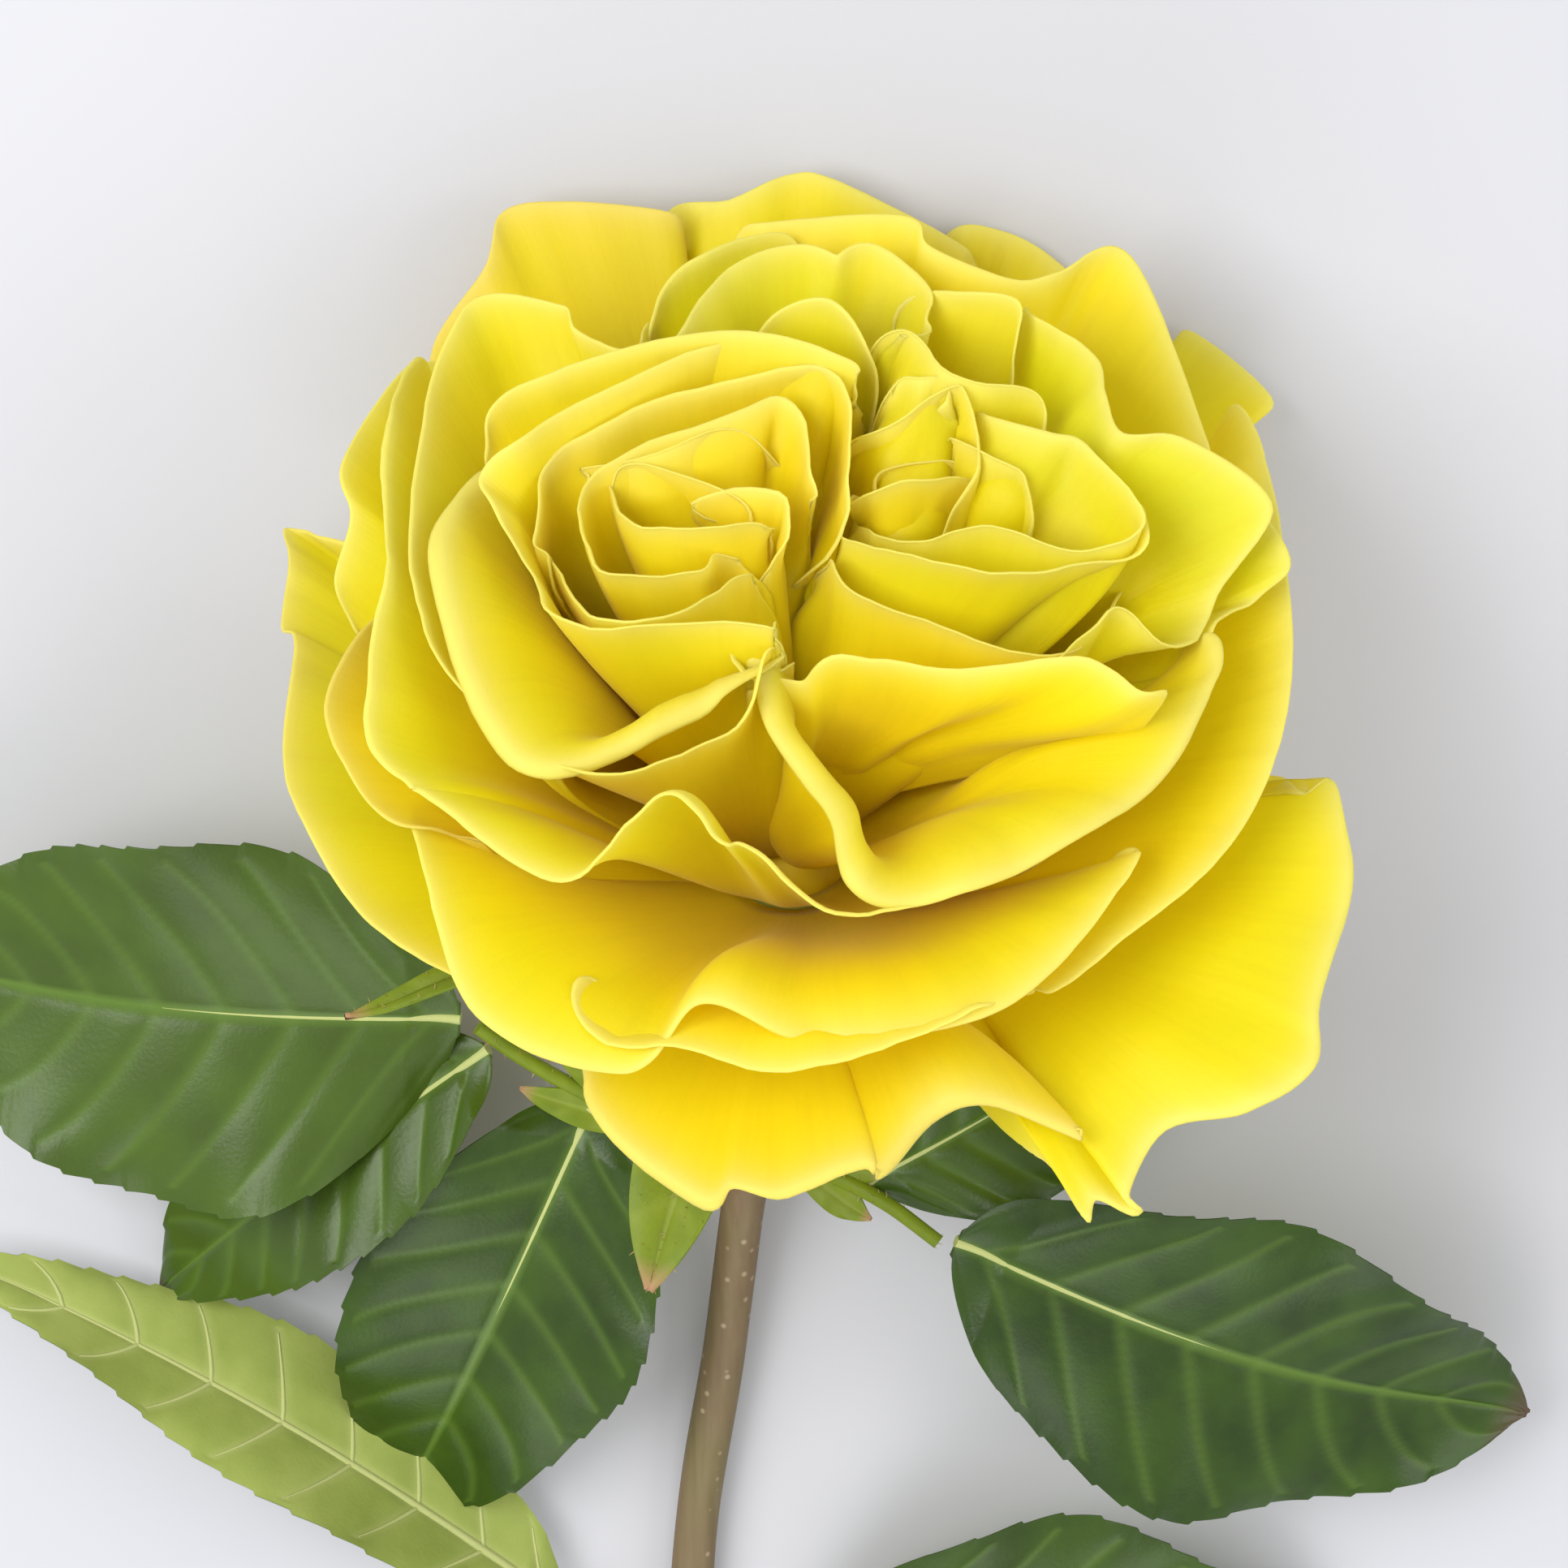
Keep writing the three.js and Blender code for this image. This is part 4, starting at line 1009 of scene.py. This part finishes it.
# %% Tube tree
def new_tree(name, sizes):
    """A Geometry Nodes tree with named inputs, and the sockets that they come in by."""
    tree = bpy.data.node_groups.new(name, "GeometryNodeTree")
    for socket, kind in {"Geometry": "Geometry", **sizes, "Skin": "Material"}.items():
        tree.interface.new_socket(socket, in_out="INPUT", socket_type="NodeSocket" + kind)
    tree.interface.new_socket("Geometry", in_out="OUTPUT", socket_type="NodeSocketGeometry")
    return tree, add(tree, "NodeGroupInput").outputs


def end_tree(tree, grown_parts, skin):
    """Ends a tree: instances are made real, and get their material."""
    real = add(tree, "GeometryNodeRealizeInstances", {"Geometry": grown_parts})
    skinned = add(
        tree, "GeometryNodeSetMaterial", {"Geometry": real.outputs[0], "Material": skin}
    )
    add(tree, "NodeGroupOutput", {"Geometry": skinned.outputs[0]})


tube_tree, given = new_tree("tube_along_path", {"Spacing": "Float", "Sides": "Int"})
resample = add(
    tube_tree,
    "GeometryNodeResampleCurve",
    {"Curve": given["Geometry"], "Length": given["Spacing"]},
    mode="LENGTH",
)
section = add(
    tube_tree, "GeometryNodeCurvePrimitiveCircle", {"Resolution": given["Sides"], "Radius": 1.0}
)
radius = add(tube_tree, "GeometryNodeInputRadius")
swept = add(
    tube_tree,
    "GeometryNodeCurveToMesh",
    {
        "Curve": resample.outputs[0],
        "Profile Curve": section.outputs[0],
        "Scale": radius.outputs[0],
        "Fill Caps": True,
    },
)
smooth = add(tube_tree, "GeometryNodeSetShadeSmooth", {"Geometry": swept.outputs[0]})
end_tree(tube_tree, smooth.outputs[0], given["Skin"])
print("tube tree nodes:", len(tube_tree.nodes))

# %% [markdown]
# ## Hairs
# Short stiff hairs stand on the sepals and the stalks. A second tree scatters points over a skin
# with a fixed seed, stands a thin cone on each, tilts it at random, and makes the cones real. Real
# hairs are far finer than these; each is drawn as thick as it needs to be to show.

# %% Hair tree
HAIR_SIDES = 4
HAIR_POINT = 0.02 * MM
LEAN = (0.5, 0.5, 3.0)  # the most a hair tips and turns, in radians

hair_tree, given = new_tree(
    "hairs_on_skin", {"Density": "Float", "Length": "Float", "Width": "Float", "Seed": "Int"}
)
spots = add(
    hair_tree,
    "GeometryNodeDistributePointsOnFaces",
    {"Mesh": given["Geometry"], "Density": given["Density"], "Seed": given["Seed"]},
)
cone = add(
    hair_tree,
    "GeometryNodeMeshCone",
    {
        "Vertices": HAIR_SIDES,
        "Radius Top": HAIR_POINT,
        "Radius Bottom": given["Width"],
        "Depth": given["Length"],
    },
)
lean = add(
    hair_tree,
    "FunctionNodeRandomValue",
    {0: tuple(-x for x in LEAN), 1: LEAN, "Seed": given["Seed"]},
    data_type="FLOAT_VECTOR",
)
tilt = add(
    hair_tree,
    "FunctionNodeRotateRotation",
    {0: spots.outputs["Rotation"], 1: lean.outputs[0]},
    rotation_space="LOCAL",
)
sizes = add(
    hair_tree, "FunctionNodeRandomValue", {2: 0.5, 3: 1.1, "Seed": given["Seed"]}, data_type="FLOAT"
)
standing = add(
    hair_tree,
    "GeometryNodeInstanceOnPoints",
    {
        "Points": spots.outputs["Points"],
        "Instance": cone.outputs["Mesh"],
        "Rotation": tilt.outputs[0],
        "Scale": sizes.outputs[1],
    },
)
end_tree(hair_tree, standing.outputs[0], given["Skin"])
print("hair tree nodes:", len(hair_tree.nodes))


# %% Running a tree
def grown(data, tree, inputs):
    """The plain mesh that a tree makes from a curve or mesh, with its inputs given by name."""
    source = bpy.data.objects.new("source", data)
    bpy.context.collection.objects.link(source)
    modifier = source.modifiers.new("growth", "NODES")
    modifier.node_group = tree
    for item in tree.interface.items_tree:
        if item.item_type == "SOCKET" and item.in_out == "INPUT" and item.name in inputs:
            modifier[item.identifier] = inputs[item.name]
    bpy.context.view_layer.update()
    evaluated = source.evaluated_get(bpy.context.evaluated_depsgraph_get())
    mesh = bpy.data.meshes.new_from_object(evaluated)
    bpy.data.objects.remove(source)
    return mesh


def tubes(paths, spacing, sides, material):
    """Tubes along paths. Each path is a list of table points in mm with the radius as a fourth."""
    curve = bpy.data.curves.new("paths", "CURVE")
    curve.dimensions = "3D"
    for path in paths:
        spline = curve.splines.new("POLY")
        spline.points.add(len(path) - 1)
        for point, (x, y, z, thick) in zip(spline.points, path):
            point.co = (x * MM, y * MM, max(z, thick + ON_TABLE) * MM, 1)
            point.radius = thick * MM
    return grown(curve, tube_tree, {"Spacing": spacing * MM, "Sides": sides, "Skin": material})


def hairs_on(mesh, density_per_mm2, seed, length=0.6, width=0.06):
    """Hairs over a mesh."""
    settings = {
        "Density": density_per_mm2 / MM**2,
        "Length": length * MM,
        "Width": width * MM,
        "Seed": seed,
        "Skin": gland_hair,
    }
    return grown(mesh, hair_tree, settings)


def joined(mesh, others):
    """Adds plain meshes to a mesh, each with its own material."""
    whole = bmesh.new()
    whole.from_mesh(mesh)
    for other in others:
        first = len(whole.faces)
        whole.from_mesh(other)
        whole.faces.ensure_lookup_table()
        material = next(m for m in other.materials if m is not None)
        if material.name not in mesh.materials:
            mesh.materials.append(material)
        slot = mesh.materials.find(material.name)
        for face in whole.faces[first:]:
            face.material_index = slot
    whole.to_mesh(mesh)
    whole.free()
    return mesh


# %% [markdown]
# ## Leaflets and sepals
# A rose leaflet is an oval that comes to a point, folded up a little along its midrib, with saw
# teeth that point to the tip. Side veins leave the midrib at a slant and are pressed into the upper
# face, with the leaf swelling between them like a quilt. All of that follows rules, so the blade is
# a fine grid whose outline and height are formulas: teeth repeat along the edge, veins repeat along
# the midrib. Below, the veins stand out as thin tubes, and those are grown by the tube tree.

# %% Blades
TOOTH_PITCH = 4.2
TOOTH_DEPTH = 0.5
TEETH_FROM, TEETH_TO = 0.12, 0.97
VEINS_FROM, VEINED = 0.04, 0.9  # where the first vein leaves the midrib, and the share with veins
VEIN_SLANT = 0.62
VEIN_DEPTH = 0.22
SIDE_VEIN_SHARE = 0.4
VEINS_END = 0.93
VEIN_WIDTH, VEIN_TAPER = 0.95, 0.35  # at the midrib, and how much less it is at the edge
MIDRIB_WIDTH, MIDRIB_TAPER = 0.8, 0.5  # at the stalk, and how much less it is at the tip
QUILT = 0.4
WAVE = 0.05
CURL = 0.03
CURL_FROM = 0.85
EDGE_TAPER = 0.6


def blade(
    base, tip, width, arch, roll=0, fold=12, fullest=0.42, teeth=True, veins=8, seed=0, quilt=QUILT
):
    """Three functions of t, along the midrib, and s, across from -1 to 1: the point there, how
    much of a vein is there, and which vein it is by number."""
    base, tip = np.array(base, float), np.array(tip, float)
    length = np.linalg.norm(tip - base)
    along = (tip - base) / length
    side = np.cross([0, 0, 1.0], along)
    side /= np.linalg.norm(side)
    side = np.array(Matrix.Rotation(math.radians(roll), 3, Vector(along)) @ Vector(side))
    up = np.cross(along, side)
    up /= np.linalg.norm(up)
    power = math.log(0.5) / math.log(fullest)
    fold = math.radians(fold)
    tooth_count = length / TOOTH_PITCH

    def half_width(t):
        t = np.clip(t, 0.004, 0.996)
        return (width / 2) * np.sin(np.pi * t**power) ** 0.75

    def vein_phase(t, s):
        reach = np.abs(s)
        slant = VEIN_SLANT * reach * (width / 2) / length * (0.75 + 0.25 * reach)
        return (t - VEINS_FROM - slant) * veins / VEINED

    def vein_share(t, s):
        phase = vein_phase(t, s)
        spacing = VEINED * length / veins
        off = np.abs(phase - np.round(phase)) * spacing
        wide = VEIN_WIDTH - VEIN_TAPER * np.abs(s)
        side_vein = np.exp(-((off / wide) ** 2)) * (np.abs(s) < VEINS_END)
        midrib = np.exp(-((s * half_width(t) / (MIDRIB_WIDTH - MIDRIB_TAPER * t)) ** 2))
        live = (np.round(phase) >= 0) & (np.round(phase) < veins)
        return np.maximum(SIDE_VEIN_SHARE * side_vein * live, midrib)

    def at(t, s):
        t, s = np.broadcast_arrays(np.asarray(t, float), np.asarray(s, float))
        reach = np.abs(s)
        edge = half_width(t)
        if teeth:
            saw = (t * tooth_count + 0.3 * np.sign(s) + 0.4 * np.sin(9 * t + seed)) % 1.0
            live = np.clip((t - TEETH_FROM) * 8, 0, 1) * np.clip((TEETH_TO - t) * 20, 0, 1)
            edge = edge + TOOTH_DEPTH * (saw**1.4 - 0.4) * reach**6 * live
        across = s * edge
        phase = vein_phase(t, s)
        pillow = quilt * np.abs(np.sin(np.pi * phase)) * reach**0.6 * (1 - reach**4)
        wave_phase = 2 * np.pi * (2.3 * t + 0.37 * seed) + 1.5 * np.sign(s)
        wave = WAVE * width * np.sin(wave_phase) * reach**3
        to_tip = np.clip((t - CURL_FROM) / (1 - CURL_FROM), 0, 1)
        curl = CURL * length * to_tip**2 * math.sin(seed * 1.7)
        groove = -1.6 * VEIN_DEPTH * vein_share(t, s) * (1 - t) ** 0.3
        height = arch * np.sin(np.pi * t) + np.abs(across) * math.sin(fold) + pillow + wave + groove
        height = height * np.clip(t * 12, 0, 1) + curl
        point = base + (tip - base) * np.clip(t, 0.0, 1.0)[..., None]
        return point + side * (across * math.cos(fold))[..., None] + up * height[..., None]

    return at, vein_share, vein_phase


def blade_mesh(
    name, at, vein_share, to_table, thickness, material, rows, columns, dry_from, young_and_lit=0.0,
    turned_over=False,
):
    """A blade as a closed mesh, with the veins marked on it."""
    t = np.linspace(0, 1, rows)[:, None]
    s = np.sin(np.linspace(-1, 1, columns) * math.pi / 2 * 0.999)[None, :]
    grid = at(t, s)
    flat = to_table(grid.reshape(-1, 3)).reshape(grid.shape)
    normals = np.cross(np.gradient(flat, axis=0), np.gradient(flat, axis=1))
    outward = 1 if (normals[rows // 2, columns // 2, 2] > 0) != turned_over else -1
    ones = np.ones(grid.shape[:2])
    values = {
        "vein": vein_share(*np.broadcast_arrays(t, s)),
        "dry": np.clip((t - dry_from) / (1 - dry_from), 0, 1) * ones,
        "young_and_lit": young_and_lit * ones,
    }
    wall = thickness * (1 - EDGE_TAPER * np.abs(s) ** 4) * ones
    return shell(name, flat, outward, wall, values, material)


# %% [markdown]
# ## Veins under a leaf
# Each vein is a path on the under face, found by walking out from the midrib and asking the blade
# where the vein of that number has got to. All veins of a leaf go through the tube tree at once.

# %% Lower veins
MIDRIB_RADIUS, SIDE_VEIN_RADIUS = 0.75, 0.3
VEIN_SPACING, VEIN_SIDES = 1.2, 7


def lower_veins(at, vein_phase, to_table, thickness, veins, turned_over):
    """The midrib and side veins that stand out under a blade, marked as veins of its under face."""
    def on_table(t, s):
        return to_table(at(t, s).reshape(-1, 3))[0]

    def below(t, s):
        step = 0.004
        run = on_table(min(t + step, 1), s) - on_table(max(t - step, 0), s)
        normal = np.cross(run, on_table(t, s + step) - on_table(t, s - step))
        normal /= max(np.linalg.norm(normal), 1e-9)
        if (normal[2] > 0) != turned_over:
            normal = -normal
        return on_table(t, s) + normal * thickness / 2

    paths = [[(*below(t, 0.0), MIDRIB_RADIUS * (1 - 0.85 * t)) for t in np.linspace(0.0, 0.94, 40)]]
    for index in range(veins):
        for side in (-1, 1):
            path = []
            for reach in np.linspace(0.02, 0.86, 12):
                s = side * reach
                slant = (vein_phase(0.0, s) - vein_phase(0.0, 0.0)) * VEINED / veins
                t = index * VEINED / veins + VEINS_FROM - slant
                if 0.02 < t < VEINS_END:
                    path.append((*below(float(t), s), SIDE_VEIN_RADIUS * (1 - 0.75 * reach)))
            if len(path) > 4:
                paths.append(path)
    mesh = tubes(paths, VEIN_SPACING, VEIN_SIDES, leaf_skin)
    marks = (("under", "FACE", len(mesh.polygons)), ("vein", "POINT", len(mesh.vertices)))
    for mark, domain, count in marks:
        attribute = mesh.attributes.new(mark, "FLOAT", domain)
        attribute.data.foreach_set("value", np.ones(count, np.float32))
    return mesh


# %% [markdown]
# ## Leaflets
# Each leaflet is given by where its blade starts and ends, beside the receptacle, and by how wide,
# arched and rolled it is. The low left one lies on its face, so it shows its pale underside.

# %% Leaflets
LEAF_ROWS = 181
LEAF_COLUMNS = 53
VEINS = 8
LEAF_THICKNESS = 0.42
DRY_FROM = 0.96
# Each leaflet's first number is how much lighter its upper face is: partly a younger leaf's own lighter
# green, partly painted light on the leaflets nearer the lamp. The second is where its dry tip starts.
LEAFLETS = {
    "left_leaf_end": (0.35, DRY_FROM, dict(
        base=(-24, 38, -20), tip=(-19, 106, -30), width=48, arch=6, roll=-8, seed=1)),
    "left_leaf_upper_side": (0.3, DRY_FROM, dict(
        base=(-28, 35, -21), tip=(-63, 76, -35), width=24, arch=5, roll=20, seed=2)),
    "left_leaf_lower_side": (0.1, DRY_FROM, dict(
        base=(-35, 23, -22), tip=(-92, 48, -36), width=36, arch=5, roll=0, seed=3)),
    "right_leaf_end": (0.05, 0.93, dict(
        base=(-49, -19, -14), tip=(-76, -88, -30), width=42, arch=7, roll=12, seed=4)),
    "right_leaf_side": (0.2, DRY_FROM, dict(
        base=(-43, -9, -18), tip=(-22, -46, -26), width=24, arch=3, roll=0, seed=5)),
    "low_leaf_left": (1.0, DRY_FROM, dict(
        base=(-103, 27, -31), tip=(-56, 100, -29), width=22, arch=5, roll=50, seed=6)),
    "low_leaf_right": (0.15, DRY_FROM, dict(
        base=(-108, -4, -32), tip=(-118, -72, -36), width=50, arch=6, roll=0, seed=7)),
}
TURNED_OVER = ("low_leaf_left",)

for name, (young_and_lit, dry_from, outline) in LEAFLETS.items():
    turned_over = name in TURNED_OVER
    at, vein_share, vein_phase = blade(**outline, veins=VEINS)
    mesh = blade_mesh(
        name, at, vein_share, stem_to_table, LEAF_THICKNESS, leaf_skin, LEAF_ROWS, LEAF_COLUMNS,
        dry_from, young_and_lit, turned_over,
    )
    veins = lower_veins(at, vein_phase, stem_to_table, LEAF_THICKNESS, VEINS, turned_over)
    make_piece(name, joined(mesh, [veins]))
print("leaflets:", ", ".join(LEAFLETS))

# %% [markdown]
# ## Sepals
# The five green sepals that once wrapped the bud hang under the bloom. Each is a narrow blade with
# a long point, thicker than a leaf and with no teeth, with a few veins and gland-tipped hairs.

# %% Sepals
SEPAL_THICKNESS = 0.8
SEPAL_ROWS, SEPAL_COLUMNS = 81, 25
SEPAL_DRY_FROM = 0.93
SEPAL_HAIRS = 0.35
SEPALS = {
    "sepal_front": dict(
        base=(-2, -6.5, -5), tip=(-15, -46, -14), width=11, arch=5, fullest=0.68, seed=11),
    "sepal_left": dict(
        base=(-6.5, -1.5, -5), tip=(-48, -17, -6), width=7, arch=3, fullest=0.3, seed=12),
    "sepal_right_front": dict(
        base=(5.5, -4, -5), tip=(25, -19, -16), width=7, arch=4, fullest=0.3, seed=13),
    "sepal_right_back": dict(
        base=(5.5, 3.5, -5), tip=(26, 15, -15), width=7, arch=4, fullest=0.3, seed=14),
    "sepal_back": dict(
        base=(-2, 6.5, -5), tip=(-9, 30, -15), width=7, arch=4, fullest=0.3, seed=15),
}

for name, outline in SEPALS.items():
    at, vein_share, _ = blade(**outline, fold=20, teeth=False, veins=6, quilt=0.1)
    mesh = blade_mesh(
        name, at, vein_share, bloom_to_table, SEPAL_THICKNESS, young_skin,
        SEPAL_ROWS, SEPAL_COLUMNS, SEPAL_DRY_FROM,
    )
    hairs = hairs_on(mesh, SEPAL_HAIRS, outline["seed"])
    make_piece(name, joined(mesh, [hairs]))
print("sepals:", ", ".join(SEPALS))

# %% [markdown]
# ## Stem and hip
# The stem is one tube from the cut end to the neck, where it swells into the hip: the green urn
# under the bloom that will hold the seeds. The same tube does both, with the hip as a swelling of
# its radius. It swells a little too at the two joints where leaves leave it.

# %% Stem and hip
STEM_RADIUS = 2.6
STEM_PATH = [
    (-220, 6, -35), (-150, 13, -35), (-100, 12, -35), (-70, 8, -33), (-45, 5, -28), (-27, 2, -19),
]
# The hip: how far along the bloom's axis, and the radius there.
HIP = [
    (-15, 2.7), (-12, 3.7), (-9, 4.9), (-6, 5.8), (-3, 6.3), (-0.5, 6.3), (1.5, 5.8), (3, 4.6),
    (4.3, 2.8), (4.9, 0.4),
]
JOINTS = (-43, -118)
JOINT_SWELLING = 0.9
JOINT_LENGTH = 3.2
LUMPS = 0.12
STEM_SPACING, STEM_SIDES = 0.8, 32

hip_points = [tuple(z * c for c in BLOOM_AXIS) for z, _ in HIP]
centre_line = [*STEM_PATH, *hip_points]
drawn = []
for place in np.linspace(0, len(STEM_PATH) / (len(centre_line) - 1), 160):
    x, y, z = smooth_at(centre_line, [place])[0]
    swelling = sum(math.exp(-(((x - joint) / JOINT_LENGTH) ** 2)) for joint in JOINTS)
    lumps = LUMPS * noise.noise(Vector((x / 9, 1.3, 0)))
    drawn.append((x, y, z, STEM_RADIUS + JOINT_SWELLING * swelling + lumps))
for place in np.linspace(0.03, 1, 40):
    z, thick = smooth_at(HIP, [place])[0]
    drawn.append((*(z * c for c in BLOOM_AXIS), thick))
stem_path = [(*stem_to_table([(x, y, z)])[0], thick) for x, y, z, thick in drawn]
stem_mesh = tubes([stem_path], STEM_SPACING, STEM_SIDES, stem_bark)
make_piece("stem", stem_mesh)
print("stem triangles:", 2 * len(stem_mesh.polygons))

# %% [markdown]
# ## Leaf stalks
# A stalk is a short tube with a hair or two, and at its foot it carries a pair of leafy wings, the
# stipules. They are small blades, so the same function makes them.

# %% Leaf stalks
STALKS = {
    "left_leaf_stalk": [(-40, 11, -24), (-34, 23, -22), (-29, 31, -21), (-25, 36, -20)],
    "right_leaf_stalk": [(-42, 1, -25), (-43, -5, -20), (-45, -11, -16), (-49, -17, -14)],
    "low_leaf_left_stalk": [(-116, 17, -35), (-111, 20, -34), (-105, 25, -32)],
    "low_leaf_right_stalk": [(-122, 9, -35), (-117, 4, -34), (-109, -3, -32)],
}
STALK_RADIUS = 0.95
STALK_SPACING, STALK_SIDES = 0.5, 16
STALK_HAIRS = 0.5
FIRST_HAIR_SEED = 21
STIPULE_WIDTH = 4.5
STIPULE_THICKNESS = 0.4
STIPULE_ROWS, STIPULE_COLUMNS = 41, 15
STIPULE_DRY_FROM = 0.9


def stipule(path, side, seed):
    """The blade of the leafy wing on one side of a stalk's foot."""
    start, end = np.array(path[0], float), np.array(smooth_at(path, [0.6])[0])
    run = unit((end - start)[None])[0]
    outwards = np.cross(run, [0, 0, 1.0]) * side
    return blade(
        base=start + run * 0.5, tip=end + outwards * 3.5, width=STIPULE_WIDTH, arch=0.5, fold=10,
        fullest=0.6, teeth=False, veins=4, seed=seed, quilt=0.05,
    )


for index, (name, path) in enumerate(STALKS.items()):
    places = np.linspace(0, 1, 24)
    line = stem_to_table(smooth_at(path, places))
    thick = STALK_RADIUS * (1.25 - 0.35 * np.sin(np.pi * places * 0.5))
    centre = [(*p, r) for p, r in zip(line, thick)]
    mesh = tubes([centre], STALK_SPACING, STALK_SIDES, young_skin)
    wings = []
    for side in (-1, 1):
        at, vein_share, _ = stipule(path, side, index + side)
        wings.append(blade_mesh(
            name, at, vein_share, stem_to_table, STIPULE_THICKNESS, young_skin,
            STIPULE_ROWS, STIPULE_COLUMNS, STIPULE_DRY_FROM,
        ))
    hairs = hairs_on(mesh, STALK_HAIRS, FIRST_HAIR_SEED + index)
    make_piece(name, joined(mesh, [*wings, hairs]))
print("stalks:", ", ".join(STALKS))

visual_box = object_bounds()
sizes = {"cad": [list(corner) for corner in cad_box], "visual": [list(corner) for corner in visual_box]}
print("visual box:", visual_box)
